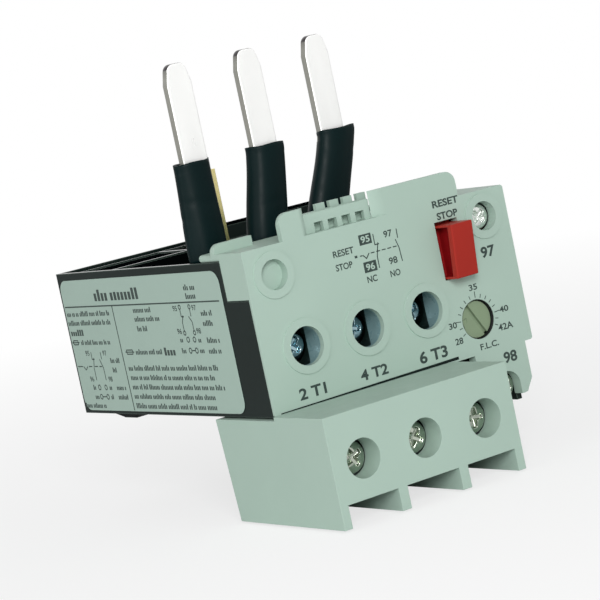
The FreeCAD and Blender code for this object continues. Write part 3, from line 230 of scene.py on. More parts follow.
def new_piece(name, mesh, material, body, smooth=True):
    """Link a made mesh as a piece that moves with a body."""
    bmesh.ops.recalc_face_normals(mesh, faces=mesh.faces)
    data = bpy.data.meshes.new(name)
    mesh.to_mesh(data)
    mesh.free()
    data.materials.append(material)
    for face in data.polygons:
        face.use_smooth = smooth
    piece = bpy.data.objects.new(name, data)
    bpy.context.scene.collection.objects.link(piece)
    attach(piece, body)
    return piece


def highlight_arrises(material, colour, radius, most):
    """Lighten a material where its skin turns sharply, as along an arris, as a painted highlight."""
    tree = material.node_tree
    base = tree.nodes["Principled BSDF"].inputs["Base Color"]
    rounded = tree.nodes.new("ShaderNodeBevel")
    rounded.inputs["Radius"].default_value = radius
    turned = tree.nodes.new("ShaderNodeVectorMath")
    turned.operation = "DOT_PRODUCT"
    tree.links.new(rounded.outputs["Normal"], turned.inputs[0])
    tree.links.new(tree.nodes.new("ShaderNodeNewGeometry").outputs["Normal"], turned.inputs[1])
    highlight = spread(tree, turned.outputs["Value"], 0, most, STILL_FLAT, FULLY_TURNED)
    tree.links.new(blended(tree, highlight, base.links[0].from_socket, colour), base)


def shade_matt_panels(material, rib_level, reach):
    """Leave what faces up matt and darkened nearly black as painted shade, but for the tops of the ribs, which
    shine.
    """
    tree = material.node_tree
    shader = tree.nodes["Principled BSDF"]
    base, roughness, gloss = (shader.inputs[name]
                              for name in ("Base Color", "Roughness", "Specular IOR Level"))
    where = tree.nodes.new("ShaderNodeTexCoord")
    up = worked(tree, "GREATER_THAN", component(tree, where.outputs["Normal"], "Z"), FACING_UP)
    raised = worked(tree, "COMPARE", component(tree, where.outputs["Object"], "Z"), rib_level, reach)
    rib = worked(tree, "MULTIPLY", up, raised)
    tree.links.new(blended(tree, up, base.links[0].from_socket, PANEL_SHADE_BLACK), base)
    panel_gloss = spread(tree, up, gloss.default_value, 0)
    tree.links.new(worked(tree, "MULTIPLY_ADD", rib, RIB_GLOSS, panel_gloss), gloss)
    uneven = roughness.links[0].from_socket
    tree.links.new(worked(tree, "MULTIPLY_ADD", rib, -RIB_SMOOTHER, uneven), roughness)


RIB_TOP = 31.5
RIB_REACH = 0.0002
RIB_GLOSS = 1.8
RIB_SMOOTHER = 0.2
FACING_UP = 0.8
PANEL_SHADE_BLACK = srgb(5, 8, 9)
ARRIS_HIGHLIGHT_GREY = srgb(104, 122, 112)
ARRIS_HIGHLIGHT_RADIUS = 0.0003
ARRIS_HIGHLIGHT_MOST = 0.6
STILL_FLAT = 0.995
FULLY_TURNED = 0.9
housing_black, housing_skin = (surface(name, srgb(18, 30, 27), 0.34, gloss=0.14, cloud=0.14, grain=0.2)
                               for name in ("housing_black", "housing_skin"))
housing = finish_node("rear_housing", housing_skin)
rib_top = housing.matrix_world.inverted() @ place(0, 0, RIB_TOP)
# Faces that look up are painted near black, as painted shade over the panels between the ribs.
shade_matt_panels(housing_skin, rib_top.z, RIB_REACH)
# The housing's arrises are painted lighter, as painted highlights.
highlight_arrises(housing_skin, ARRIS_HIGHLIGHT_GREY, ARRIS_HIGHLIGHT_RADIUS, ARRIS_HIGHLIGHT_MOST)
round_arrises(housing, HOUSING_ARRIS)


# Feet: two low pads over the housing's moulded feet at its rear, each with a narrow crest across it.
# They are taken as black rubber. Their material and their form are guesses.
PAD_FRONT = 57.6
PAD_BACK = 71.5
PAD_LEVEL = -0.2
CREST_MIDDLE = 62.4
CREST_HALF = 2.4
CREST_LEVEL = -1.5
PAD_ARRIS = 0.0003
pad_rubber = surface("pad_rubber", srgb(14, 18, 18), 0.6, gloss=0.15, cloud=0.2)
for number, (left, right) in enumerate(((2.2, 8.6), (34.5, 40.9)), 1):
    mesh = bmesh.new()
    crest, root = (ring_of(mesh, ((left, front, level), (right, front, level), (right, back, level),
                                  (left, back, level)))
                   for front, back, level in (
                       (CREST_MIDDLE - CREST_HALF, CREST_MIDDLE + CREST_HALF, CREST_LEVEL),
                       (PAD_FRONT, PAD_BACK, PAD_LEVEL)))
    mesh.faces.new(crest)
    mesh.faces.new(root)
    join_rings(mesh, crest, root)
    round_arrises(new_piece(f"foot_pad_{number}", mesh, pad_rubber, "relay", smooth=False), PAD_ARRIS)


# Trip works inside the housing: three bimetals with their heaters, the slide that they push, the lever and
# the contact carriage. Strips are rolled bimetal, heaters are flattened resistance ribbon, and the moving
# parts are natural polyamide that snaps into the black mechanism frame.
WORKS_ARRIS = 0.0001
TARNISH_SCALE = 260
STREAK_SCALE = 12
STREAK_PLAY = 0.1
STREAK_DEPTH = 0.00002
STREAK_STRENGTH = 0.08
LEAST_ROUGH = 0.04


def plated_metal(name, colour, roughness, along=(60, 60, 900), tarnish=0.12, metallic=1):
    """Rolled, drawn or plated metal: fine streaks along one axis and a little tarnish."""
    metal, tree, shader, where = new_skin(name)
    shader.inputs["Metallic"].default_value = metallic
    stretch = tree.nodes.new("ShaderNodeMapping")
    stretch.inputs["Scale"].default_value = along
    tree.links.new(where, stretch.inputs["Vector"])
    dull = tuple(channel * (1 - tarnish * 2) for channel in colour[:3]) + (1.0,)
    noise_between(tree, where, TARNISH_SCALE, 4, shader.inputs["Base Color"], dull, colour)
    streaks = noise_between(tree, stretch.outputs["Vector"], STREAK_SCALE, 4, shader.inputs["Roughness"],
                            max(LEAST_ROUGH, roughness - STREAK_PLAY), roughness + STREAK_PLAY)
    relief(tree, shader, streaks, STREAK_STRENGTH, STREAK_DEPTH)
    return metal


bimetal_strip = plated_metal("bimetal_strip", srgb(150, 142, 132), 0.4)
heater_ribbon = plated_metal("heater_ribbon", srgb(110, 100, 92), 0.5)
natural_polyamide = surface("natural_polyamide", srgb(205, 203, 190), 0.5)
silvered = plated_metal("silvered_contact", srgb(205, 196, 176), 0.3)
pin_steel = plated_metal("pin_steel", srgb(178, 180, 182), 0.25)
POLES = (1, 2, 3)
for pole in POLES:
    finish_node(f"bimetal_{pole}", bimetal_strip)
    finish_node(f"heater_{pole}", heater_ribbon)
for name in ("trip_slide", "trip_lever", "contact_carriage"):
    round_arrises(finish_node(name, natural_polyamide), WORKS_ARRIS)
for name in ("closed_bridge", "open_bridge", "contact_leaf_95"):
    finish_node(name, silvered)
finish_node("lever_pin", pin_steel)
finish_node("mechanism_frame", housing_black)


# Line stabs: copper bars blanked, cranked and electro-tinned, with a satin plate that shows drawing lines.
# Each carries its pole's current up into the contactor, and all three hold the relay there.
STAB_ARRIS = 0.0003
TIN_METALLIC = 0.5
SIDE_SHADE_FROM = 0.75
SIDE_SHADE_FULL = 0.45
TIP_FROM = 0.12
TIP_FULL = 0.4
tinned = plated_metal("tinned_copper", srgb(255, 255, 253), 0.36, along=(40, 40, 6), tarnish=0.005,
                      metallic=TIN_METALLIC)


def paint_side_shade_and_tip_reflection(material, side_shade_colour, tip_reflection_colour):
    """Darken the narrow sides of a bar that faces front and back as painted shade, most of all round its tip,
    where the dark is a painted reflection.
    """
    tree = material.node_tree
    base = tree.nodes["Principled BSDF"].inputs["Base Color"]
    facing = tree.nodes.new("ShaderNodeTexCoord").outputs["Normal"]
    flat = worked(tree, "ABSOLUTE", component(tree, facing, "Y"))
    edge = spread(tree, flat, 0, 1, SIDE_SHADE_FROM, SIDE_SHADE_FULL)
    tip = spread(tree, component(tree, facing, "Z"), 0, 1, TIP_FROM, TIP_FULL)
    painted_dark = blended(tree, tip, side_shade_colour, tip_reflection_colour)
    tree.links.new(blended(tree, edge, base.links[0].from_socket, painted_dark), base)


# The stabs' narrow sides are painted grey as painted shade, and dark round the tips as a painted reflection.
paint_side_shade_and_tip_reflection(tinned, srgb(150, 150, 142), srgb(46, 40, 44))
for pole in POLES:
    round_arrises(finish_node(f"line_stab_{pole}", tinned), STAB_ARRIS)


# Stab sleeves: black shrink tube, cut by hand and shrunk on over each stab's cranked part.
# The tube stays flattened and a little loose, so it has soft folds, a ragged rim and a crease where it leans.
STAB_WIDTH = 5.9
SLEEVE_SHIFT = 0.25
SLEEVE_SPLAY = 0.9
SLEEVE_HALF = 4.3
SLEEVE_STEP = 0.25
SLEEVE_HALF_DEEP = 2.6
SLEEVE_ROOT = 33.0
SLEEVE_LEAN_TOP = 50.5
SLEEVE_SOFT = 0.3
SLEEVE_FLARE = 0.45
SLEEVE_SQUARE = 0.88
SLEEVE_CLEAR = 0.06
SLEEVE_WALL = 0.6
SLEEVE_MOUTH = 2.2
SLEEVE_ROWS = 44
SLEEVE_SIDES = 56
RAGGED_FROM = 0.9
RIM_CUT = 0.22
RIM_TILT = 0.12
RIM_RIPPLE = 0.1
FOLD_THROUGH = 0.7
CREASE_REACH = 0.7
folds = random.Random(11)
shrink_rubber = surface("shrink_rubber", srgb(5, 24, 25), 0.42, gloss=0.09, cloud=0.25, grain=0.35,
                        grain_scale=2600)


def smooth_step(value):
    """A value from 0 to 1, eased at both ends."""
    value = min(1, max(0, value))
    return value * value * (3 - 2 * value)


def eased(value, softness):
    """A value from 0 to 1, eased at both ends only as much as the softness says."""
    return smooth_step(value) * softness + min(1, max(0, value)) * (1 - softness)


def shrink_sleeve(pole):
    """A folded, leaning tube with a rim that has a wall."""
    low, high = (drawn(corner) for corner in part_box(f"stab_sleeve_{pole}"))
    clamp_low, clamp_high = (drawn(corner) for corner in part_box(f"block_screw_{pole}"))
    root = (clamp_low.x + clamp_high.x) / 2
    top = drawn(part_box(f"line_stab_{pole}")[1]).x - STAB_WIDTH / 2 + SLEEVE_SHIFT + SLEEVE_SPLAY * (pole - 2)
    half = SLEEVE_HALF + SLEEVE_STEP * (pole - 2)
    middle = (low.y + high.y) / 2
    waves = [(folds.randint(2, 5), folds.uniform(0, math.tau), folds.uniform(-0.12, 0.12),
              folds.uniform(0.05, 0.12)) for _ in range(4)]
    ragged = [folds.uniform(0, math.tau) for _ in range(2)]
    creases = [(folds.uniform(34.5, 48.0), folds.uniform(0, math.tau), folds.uniform(0.04, 0.1))
               for _ in range(5)]
    mesh = bmesh.new()
    rings = []

    def ring(level, inset, at_rim):
        """One ring of the sleeve, set in from its outer skin, and cut unevenly at the rim."""
        climbed = (level - SLEEVE_ROOT) / (SLEEVE_LEAN_TOP - SLEEVE_ROOT)
        across_root = root + (top - root) * eased(climbed, SLEEVE_SOFT)
        flare = SLEEVE_FLARE * (1 - smooth_step(climbed))
        points = []
        for side in range(SLEEVE_SIDES):
            turn = math.tau * side / SLEEVE_SIDES
            fold = sum(depth * math.sin(count * turn + phase + twist * (level - SLEEVE_ROOT))
                       for count, phase, twist, depth in waves)
            for height, at, depth in creases:
                away = abs((turn - at + math.pi) % math.tau - math.pi)
                fold -= depth * math.exp(-((level - height) / CREASE_REACH) ** 2 - (away / CREASE_REACH) ** 2)
            wide = half + flare - inset + fold
            deep = SLEEVE_HALF_DEEP + flare - inset + fold * FOLD_THROUGH
            across, through = (math.copysign(abs(part) ** SLEEVE_SQUARE, part) * reach
                               for part, reach in ((math.cos(turn), wide), (math.sin(turn), deep)))
            drop = 0
            if at_rim:
                drop = (RIM_CUT + RIM_TILT * math.sin(turn + ragged[0])
                        + RIM_RIPPLE * math.sin(3 * turn + ragged[1]))
            points.append((across_root + across, middle + through, level - drop))
        rings.append(ring_of(mesh, points))

    for row in range(SLEEVE_ROWS + 1):
        ring(low.z + (high.z - low.z) * row / SLEEVE_ROWS, SLEEVE_CLEAR, row > SLEEVE_ROWS * RAGGED_FROM)
    ring(high.z, SLEEVE_WALL * 0.5, True)
    ring(high.z, SLEEVE_WALL, True)
    ring(high.z - SLEEVE_MOUTH, SLEEVE_WALL, False)
    for below, above in zip(rings, rings[1:]):
        join_rings(mesh, below, above)
    mesh.faces.new(rings[-1])
    mesh.faces.new(list(reversed(rings[0])))
    sleeve = new_piece(f"shrink_tube_{pole}", mesh, shrink_rubber, "relay")
    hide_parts(f"stab_sleeve_{pole}")


for pole in POLES:
    shrink_sleeve(pole)


# Link strip: half-hard brass, sheared to width and left bare, so its faces are bright.
# It plugs in beside the first stab and feeds the closed contact.
LINK_ARRIS = 0.0001
brass = plated_metal("bare_brass", srgb(250, 236, 168), 0.3, along=(60, 60, 10), tarnish=0.08)
round_arrises(finish_node("link_strip", brass), LINK_ARRIS)


# Main terminals: tinned copper bars and lugs, and a zinc plated pan head screw behind each bore of the cover.
# The heads are cold formed with a cross recess, so their crowns and the walls of the cross are rounded.
# They stand in their bores a little further forward than the solids, each at a depth of its own.
HEAD_RINGS = 30
HEAD_SIDES = 96
RIM_FROM = 0.68
CROSS_END = 0.5
CROSS_FLANK = 0.4
CROSS_TAPER = 0.45
THREAD_PITCH = 0.8
THREAD_ROOT = 0.82
SCREW_TIP = 0.7
LARGE_HEAD = {"crown": 0.3, "rim": 0.65, "head_thick": 2.2, "shank_radius": 2.0,
              "arm_half": 0.5, "arm_reach": 0.7, "sink": 1.3}
bluish_zinc = plated_metal("bluish_zinc", srgb(168, 196, 204), 0.13, along=(30, 30, 30), tarnish=0.14)
bar_copper = plated_metal("bar_copper", srgb(190, 184, 172), 0.38)


def circle(x, z, radius, depth, sides):
    """Points of a circle round an axis that runs straight back."""
    turns = [math.tau * side / sides for side in range(sides)]
    return [(x + radius * math.cos(turn), depth, z + radius * math.sin(turn)) for turn in turns]


def cross_screw(node, material, turn, crown, rim, head_thick, shank_radius, arm_half, arm_reach, sink,
                out_by=0):
    """A pan head screw with a formed cross, turned by an angle, on the axis of its CAD node."""
    low, high = (drawn(corner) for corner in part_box(node))
    low.y -= out_by
    high.y -= out_by
    x, z = (low.x + high.x) / 2, (low.z + high.z) / 2
    radius = (high.x - low.x) / 2
    length = high.y - low.y
    mesh = bmesh.new()
    rings = []

    def skin(across, up):
        """Depth of the head's skin behind its crown at a point of its face."""
        out = math.hypot(across, up)
        depth = crown * (out / radius) ** 2
        over = (out / radius - RIM_FROM) / (1 - RIM_FROM)
        if over > 0:
            depth += rim * (1 - math.sqrt(max(0, 1 - over * over)))
        turned_across = across * math.cos(turn) + up * math.sin(turn)
        turned_up = up * math.cos(turn) - across * math.sin(turn)
        cut = 0
        for along, aside in ((turned_across, turned_up), (turned_up, turned_across)):
            end = smooth_step((radius * arm_reach - abs(along)) / CROSS_END)
            flank = smooth_step((arm_half + CROSS_FLANK / 2 - abs(aside)) / CROSS_FLANK)
            cut = max(cut, end * flank * (1 - CROSS_TAPER * abs(along) / (radius * arm_reach)))
        return max(depth, cut * sink)

    def face_ring(out):
        """A ring of the head's face."""
        rings.append(ring_of(mesh, [(x + across, low.y + skin(across, up), z + up)
                                    for across, _, up in circle(0, 0, out, 0, HEAD_SIDES)]))

    def shank_ring(out, depth):
        """A ring of the head's side or the shank, at a depth behind the crown."""
        rings.append(ring_of(mesh, circle(x, z, out, low.y + depth, HEAD_SIDES)))

    for step in range(1, HEAD_RINGS + 1):
        face_ring(radius * step / HEAD_RINGS)
    shank_ring(radius, head_thick)
    shank_ring(shank_radius, head_thick)
    for number in range(int((length - head_thick) / THREAD_PITCH)):
        start = head_thick + THREAD_PITCH * number
        shank_ring(shank_radius * THREAD_ROOT, start + THREAD_PITCH * 0.25)
        shank_ring(shank_radius, start + THREAD_PITCH * 0.75)
    shank_ring(shank_radius * SCREW_TIP, length)
    centre = mesh.verts.new(place(x, low.y + skin(0, 0), z))
    for side in range(HEAD_SIDES):
        mesh.faces.new((centre, rings[0][side], rings[0][(side + 1) % HEAD_SIDES]))
    for inner, outer in zip(rings, rings[1:]):
        join_rings(mesh, inner, outer)
    mesh.faces.new(rings[-1])
    screw = new_piece(f"{node}_formed", mesh, material, node)
    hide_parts(node)


for pole in POLES:
    finish_node(f"bus_bar_{pole}", bar_copper)
    finish_node(f"load_lug_{pole}", bar_copper)
    cross_screw(f"main_screw_{pole}", bluish_zinc, 0.35 + 0.5 * pole, **LARGE_HEAD, out_by=1.5 - 0.4 * pole)


# Auxiliary terminals 97 and 98: tinned brass plates, each with a smaller pan head screw in bright zinc.
# 97 sits behind its own bore and 98 in the slot below the dial, open to the right side.
SMALL_HEAD = {"crown": 0.25, "rim": 0.35, "head_thick": 1.6, "shank_radius": 1.5,
              "arm_half": 0.42, "arm_reach": 0.72, "sink": 0.9}
bright_zinc = plated_metal("bright_zinc", srgb(196, 204, 190), 0.11, along=(30, 30, 30), tarnish=0.18)
# Screw 97 gets a lighter copy of the zinc, painted brighter as a painted highlight for the glints on its head.
glint_lit_zinc = plated_metal("glint_lit_zinc", srgb(244, 250, 244), 0.15, along=(30, 30, 30), tarnish=0.12,
                          metallic=0.8)
for number, plating, turn, out_by in ((97, glint_lit_zinc, 0.75, 0.4), (98, bright_zinc, 0.9, 0.8)):
    finish_node(f"aux_terminal_{number}", silvered)
    cross_screw(f"aux_screw_{number}", plating, turn, **SMALL_HEAD, out_by=out_by)


# Front cover: light grey glass-filled polyester, one moulding with raised rims round its bores.
# Its face is faintly clouded by the flow of the melt, it clips on to the housing, and every arris is broken.
COVER_ARRIS = 0.00024
COVER_COLOUR = srgb(166, 188, 176)
cover_grey = surface("cover_grey", COVER_COLOUR, 0.46, gloss=0.24, cloud=0.035, cloud_scale=60)
round_arrises(finish_node("front_cover", cover_grey), COVER_ARRIS)


# Bore shade: a thin tube lines each main bore, cooler grey at the front as painted shade on the bore's wall,
# and black beyond it as painted shadow deeper in. What lies behind the bores isn't known, and the line where
# the grey ends is drawn so that it looks straight from the front left.
TUBE_OUTER = 3.88
TUBE_INNER = 3.84
TUBE_FRONT = 0.9
TUBE_END = 6.3
TUBE_SIDES = 72
EDGE_FRONT = TUBE_FRONT + 0.6
EDGE_END = TUBE_END - 0.3
EDGE_REACH = 5.8
EDGE_SHIFT = 0.12
# The cooler grey is painted shade on the wall of the bore.
bore_shade_grey = surface("bore_shade_grey", srgb(120, 150, 153), 0.3, gloss=0.4, cloud=0.08, cloud_scale=120)


def tube_edge(x, z, radius):
    """The line round a bore where the grey painted shade ends and the black painted shadow begins."""
    turns = [math.tau * side / TUBE_SIDES for side in range(TUBE_SIDES)]
    return [(x + radius * math.cos(turn),
             min(EDGE_END, max(EDGE_FRONT, abs(math.cos(turn)) * EDGE_REACH - EDGE_SHIFT)),
             z + radius * math.sin(turn)) for turn in turns]


for pole in POLES:
    screw_low, screw_high = (drawn(corner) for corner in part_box(f"main_screw_{pole}"))
    axis = (screw_low.x + screw_high.x) / 2, (screw_low.z + screw_high.z) / 2
    mesh = bmesh.new()
    rings = [ring_of(mesh, points) for points in (
        circle(*axis, TUBE_OUTER, TUBE_FRONT, TUBE_SIDES), circle(*axis, TUBE_INNER, TUBE_FRONT, TUBE_SIDES),
        tube_edge(*axis, TUBE_INNER),
        circle(*axis, TUBE_INNER, TUBE_END, TUBE_SIDES), circle(*axis, TUBE_OUTER, TUBE_END, TUBE_SIDES))]
    for number, ring in enumerate(rings):
        join_rings(mesh, ring, rings[(number + 1) % len(rings)], slot=1 if number in (2, 3) else 0)
    tube = new_piece(f"bore_shade_tube_{pole}", mesh, bore_shade_grey, "relay", smooth=False)
    # The black of the second slot is painted shadow deep in the bore.
    tube.data.materials.append(housing_black)


# Print on the cover: dark ink laid by pad printing, a few hundredths of a millimetre thick.
# Pole marks stand below the bores, terminal numbers beside theirs, and the two words above the button.
INK_THICK = 0.02
LABEL_FACE = drawn(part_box("rating_label")[0]).x
ink = surface("pad_print_ink", srgb(50, 64, 60), 0.5, cloud=0.18, cloud_scale=900, grain=0.1)


def print_point(side, across, up, lift):
    """A point of a printed face, lifted off it. On the label's side, across is the station from the front."""
    if side == "front":
        return place(across, -lift, up)
    return place(LABEL_FACE - lift, across, up)


def printed_word(name, words, low, high, bottom, top, bold=0.02, material=ink, side="front", lift=0.0):
    """Words in ink that fill a box. On the left side they run from the higher station to the lower one."""
    letters = bpy.data.curves.new(name, "FONT")
    letters.body = words
    letters.resolution_u = 4
    letters.offset = bold
    blank = bpy.data.objects.new(name, letters)
    flat = bpy.data.meshes.new_from_object(blank)
    bpy.data.objects.remove(blank)
    mesh = bmesh.new()
    mesh.from_mesh(flat)
    bpy.data.meshes.remove(flat)
    left, right = (edge(vert.co.x for vert in mesh.verts) for edge in (min, max))
    base, head = (edge(vert.co.y for vert in mesh.verts) for edge in (min, max))
    grown = bmesh.ops.extrude_face_region(mesh, geom=list(mesh.faces))
    raised = {item for item in grown["geom"] if isinstance(item, bmesh.types.BMVert)}
    for vert in mesh.verts:
        across = (vert.co.x - left) / (right - left)
        if side == "left":
            across = 1 - across
        up = bottom + (top - bottom) * (vert.co.y - base) / (head - base)
        thick = INK_THICK if vert in raised else 0
        vert.co = print_point(side, low + (high - low) * across, up, lift + thick)
    return new_piece(name, mesh, material, "relay", smooth=False)


def printed_strokes(name, strokes, material=ink, side="front"):
    """Straight strokes of ink as one mesh, each (start across, start up, end across, end up, width)."""
    mesh = bmesh.new()
    for start_across, start_up, end_across, end_up, width in strokes:
        run = Vector((end_across - start_across, end_up - start_up))
        half = Vector((-run.y, run.x)).normalized() * width / 2
        corners = [(start_across + half.x, start_up + half.y), (start_across - half.x, start_up - half.y),
                   (end_across - half.x, end_up - half.y), (end_across + half.x, end_up + half.y)]
        under, over = ([mesh.verts.new(print_point(side, across, up, lift)) for across, up in corners]
                       for lift in (0, INK_THICK))
        mesh.faces.new(over)
        join_rings(mesh, under, over)
    return new_piece(name, mesh, material, "relay", smooth=False)


COVER_BOLD = 0.03
for name, words, low, high, bottom, top in (
        ("pole_mark_1", "2 T1", 6.5, 13.0, 1.8, 4.1),
        ("pole_mark_2", "4 T2", 21.55, 28.35, 1.9, 4.1),
        ("pole_mark_3", "6 T3", 36.45, 43.65, 1.65, 4.15),
        ("mark_97", "97", 56.95, 60.6, 19.05, 21.4),
        ("mark_98", "98", 57.4, 60.9, -3.45, -1.05),
        ("word_reset", "RESET", 47.15, 53.85, 31.7, 33.2),
        ("word_stop", "STOP", 47.75, 53.1, 29.1, 30.6)):
    printed_word(name, words, low, high, bottom, top, COVER_BOLD)


# Contact diagram: printed with the same ink in the middle of the cover.
# It shows a closed contact 95-96 and an open contact 97-98, with a dashed line for the latch that works both.
LINE = 0.22
DASH = 0.95
DASH_PITCH = 1.4
DASH_START = 29.9
DASH_LEVEL = 26.3
bare = surface("bare_cover_in_print", COVER_COLOUR, 0.46)
printed_strokes("diagram_boxes", [(27.7, 29.28, 30.75, 29.28, 2.1), (27.6, 23.72, 30.75, 23.72, 2.15)])
for name, words, low, high, bottom, top, material, lift in (
        ("diagram_95", "95", 28.15, 30.3, 28.6, 30.0, bare, INK_THICK),
        ("diagram_96", "96", 28.1, 30.25, 23.0, 24.4, bare, INK_THICK),
        ("diagram_97", "97", 33.85, 35.95, 28.5, 29.9, ink, 0),
        ("diagram_98", "98", 33.87, 35.98, 23.0, 24.4, ink, 0),
        ("diagram_nc", "NC", 27.8, 30.27, 20.55, 21.9, ink, 0),
        ("diagram_no", "NO", 33.6, 36.1, 20.45, 21.8, ink, 0),
        ("diagram_reset", "RESET", 20.92, 26.0, 27.2, 28.55, ink, 0),
        ("diagram_stop", "STOP", 20.95, 25.05, 24.45, 25.8, ink, 0)):
    printed_word(name, words, low, high, bottom, top, material=material, lift=lift)
closed_contact = [(31.32, 29.9, 31.3, 27.6, LINE), (31.3, 27.7, 32.35, 27.7, LINE),
                  (32.1, 28.0, 31.3, 25.3, LINE), (31.3, 25.35, 31.3, 22.95, LINE)]
open_contact = [(37.17, 29.75, 37.12, 27.85, LINE), (36.44, 27.7, 37.0, 25.8, LINE),
                (36.97, 25.85, 37.15, 23.05, LINE)]
latch = [(25.9, 26.3, 26.55, 26.3, 0.5), (27.2, 26.22, 27.85, 26.22, LINE), (27.95, 26.25, 28.7, 25.4, LINE),
         (28.65, 25.42, 29.5, 26.4, LINE)]
dashes = [(start, DASH_LEVEL, start + DASH, DASH_LEVEL, LINE)
          for start in (DASH_START + DASH_PITCH * dash for dash in range(5))]
printed_strokes("diagram_lines", closed_contact + open_contact + latch + dashes)


# Current dial: olive-grey moulding with a screwdriver slot across it and a sunk pointer.
# It turns in the cover's hole, which a thin black ring lines as painted shade in the gap round it, and the cam
# behind it sets the trip current.
DIAL_ARRIS = 0.00012
SHADE_RING_INNER = 3.98
SHADE_RING_OUTER = 4.12
SHADE_RING_FRONT = 0.15
SHADE_RING_BACK = 2.1
SHADE_RING_SIDES = 64
dial_grey = surface("dial_grey", srgb(130, 148, 120), 0.5, gloss=0.25, cloud=0.06, cloud_scale=240, grain=0.3)
round_arrises(finish_node("current_dial", dial_grey), DIAL_ARRIS)
dial_low, dial_high = (drawn(corner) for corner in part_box("current_dial"))
dial_axis = (dial_low.x + dial_high.x) / 2, (dial_low.z + dial_high.z) / 2
# The black ring that lines the dial's hole is painted shade in the gap round the dial.
dial_shade_black = surface("dial_shade_black", srgb(16, 20, 19), 0.6, gloss=0.2, cloud=0.2)
mesh = bmesh.new()
rings = [ring_of(mesh, circle(*dial_axis, radius, depth, SHADE_RING_SIDES)) for radius, depth in (
    (SHADE_RING_INNER, SHADE_RING_FRONT), (SHADE_RING_INNER, SHADE_RING_BACK), (SHADE_RING_OUTER, SHADE_RING_BACK), (SHADE_RING_OUTER, SHADE_RING_FRONT))]
for number, ring in enumerate(rings):
    join_rings(mesh, ring, rings[(number + 1) % len(rings)])
new_piece("dial_shade_ring", mesh, dial_shade_black, "relay")


# Dial scale: pad printed round the hole, from 28 to 42 amperes, with longer strokes at the figures.
# The strokes stand a little closer towards the high end.
TOP_AMPS = 35
TOP_ANGLE = 86
STEP_BELOW = 17.6
STEP_ABOVE = 16.1
TICK_START = 4.45
TICK_END = 5.25
LONG_TICK_END = 5.8
TICK_WIDTH = 0.17
ticks = []
for amps in range(28, 43):
    angle = math.radians(TOP_ANGLE - (STEP_ABOVE if amps > TOP_AMPS else STEP_BELOW) * (amps - TOP_AMPS))
    end = LONG_TICK_END if amps in (30, 35, 40) else TICK_END
    ticks.append((dial_axis[0] + TICK_START * math.cos(angle), dial_axis[1] + TICK_START * math.sin(angle),
                  dial_axis[0] + end * math.cos(angle), dial_axis[1] + end * math.sin(angle), TICK_WIDTH))
printed_strokes("scale_ticks", ticks)
for name, words, low, high, bottom, top in (
        ("scale_28", "28", 46.05, 48.05, 3.25, 4.6), ("scale_30", "30", 45.2, 47.25, 6.7, 8.0),
        ("scale_35", "35", 52.1, 54.25, 13.25, 14.55), ("scale_40", "40", 58.7, 61.1, 7.15, 8.4),
        ("scale_42", "42A", 57.55, 61.45, 3.5, 4.9), ("scale_name", "F.L.C.", 52.05, 56.9, 0.75, 2.05)):
    printed_word(name, words, low, high, bottom, top)


# Reset button: signal red moulding, a web between two hollow sides with a slanted face in front.
# Its hollows are a darker red, as painted shade. A flange behind the cover catches it, and a spring round its
# stem returns it.
BUTTON_WALL = 1.7
BUTTON_RIM = 0.55
BUTTON_HOLLOW = 1.8
BUTTON_SLANT = 1.3
BUTTON_ARRIS = 0.0003
FLANGE_FRONT = 2.4
FLANGE_BACK = 3.9
FLANGE_LIP = 0.9
WEB_LAP = 0.3
HOLLOW_SHORT = 0.4
STEM_RADIUS = 1.5
STEM_LAP = 0.2
STEM_SIDES = 40
button_red = surface("button_red", srgb(158, 42, 33), 0.36, gloss=0.14, cloud=0.06, cloud_scale=150,
                     grain=0.12)
# The hollows' darker red is painted shade.
hollow_shade_red = surface("button_hollow_shade", srgb(134, 14, 18), 0.6, gloss=0.1, cloud=0.15, cloud_scale=300)
button_low, button_high = (drawn(corner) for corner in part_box("reset_button"))
button_top = button_high.z - FLANGE_LIP
button_foot = button_low.z + FLANGE_LIP
button_mesh = bmesh.new()


def button_ring(x, front_step, back, rim):
    """Four corners of the button's slanted side at a station across it."""
    return ring_of(button_mesh, (
        (x, button_low.y + front_step, button_top - rim),
        (x, button_low.y + BUTTON_SLANT + front_step, button_foot + rim),
        (x, back, button_foot + rim), (x, back, button_top - rim)))


sides = []
for edge, inward in ((button_low.x, 1), (button_high.x, -1)):
    outside = button_ring(edge, 0, FLANGE_FRONT + WEB_LAP, 0)
    mouth = button_ring(edge, BUTTON_WALL, FLANGE_FRONT - HOLLOW_SHORT, BUTTON_RIM)
    bottom = button_ring(edge + inward * BUTTON_HOLLOW, BUTTON_WALL, FLANGE_FRONT - HOLLOW_SHORT, BUTTON_RIM)
    join_rings(button_mesh, outside, mouth)
    join_rings(button_mesh, mouth, bottom, slot=1)
    button_mesh.faces.new(bottom).material_index = 1
    sides.append(outside)
join_rings(button_mesh, *sides)
flange = [ring_of(button_mesh, ((button_low.x, y, button_low.z), (button_high.x, y, button_low.z),
                                (button_high.x, y, button_high.z), (button_low.x, y, button_high.z)))
          for y in (FLANGE_FRONT, FLANGE_BACK)]
join_rings(button_mesh, *flange)
for ring in flange:
    button_mesh.faces.new(ring)
spring_low, spring_high = (drawn(corner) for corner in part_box("reset_spring"))
stem_x, stem_z = (spring_low.x + spring_high.x) / 2, (spring_low.z + spring_high.z) / 2
stem = [ring_of(button_mesh, circle(stem_x, stem_z, STEM_RADIUS, y, STEM_SIDES))
        for y in (FLANGE_BACK - STEM_LAP, button_high.y)]
join_rings(button_mesh, *stem)
for ring in stem:
    button_mesh.faces.new(ring)
button = new_piece("push_button", button_mesh, button_red, "reset_button", smooth=False)
button.data.materials.append(hollow_shade_red)
round_arrises(button, BUTTON_ARRIS)
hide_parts("reset_button")
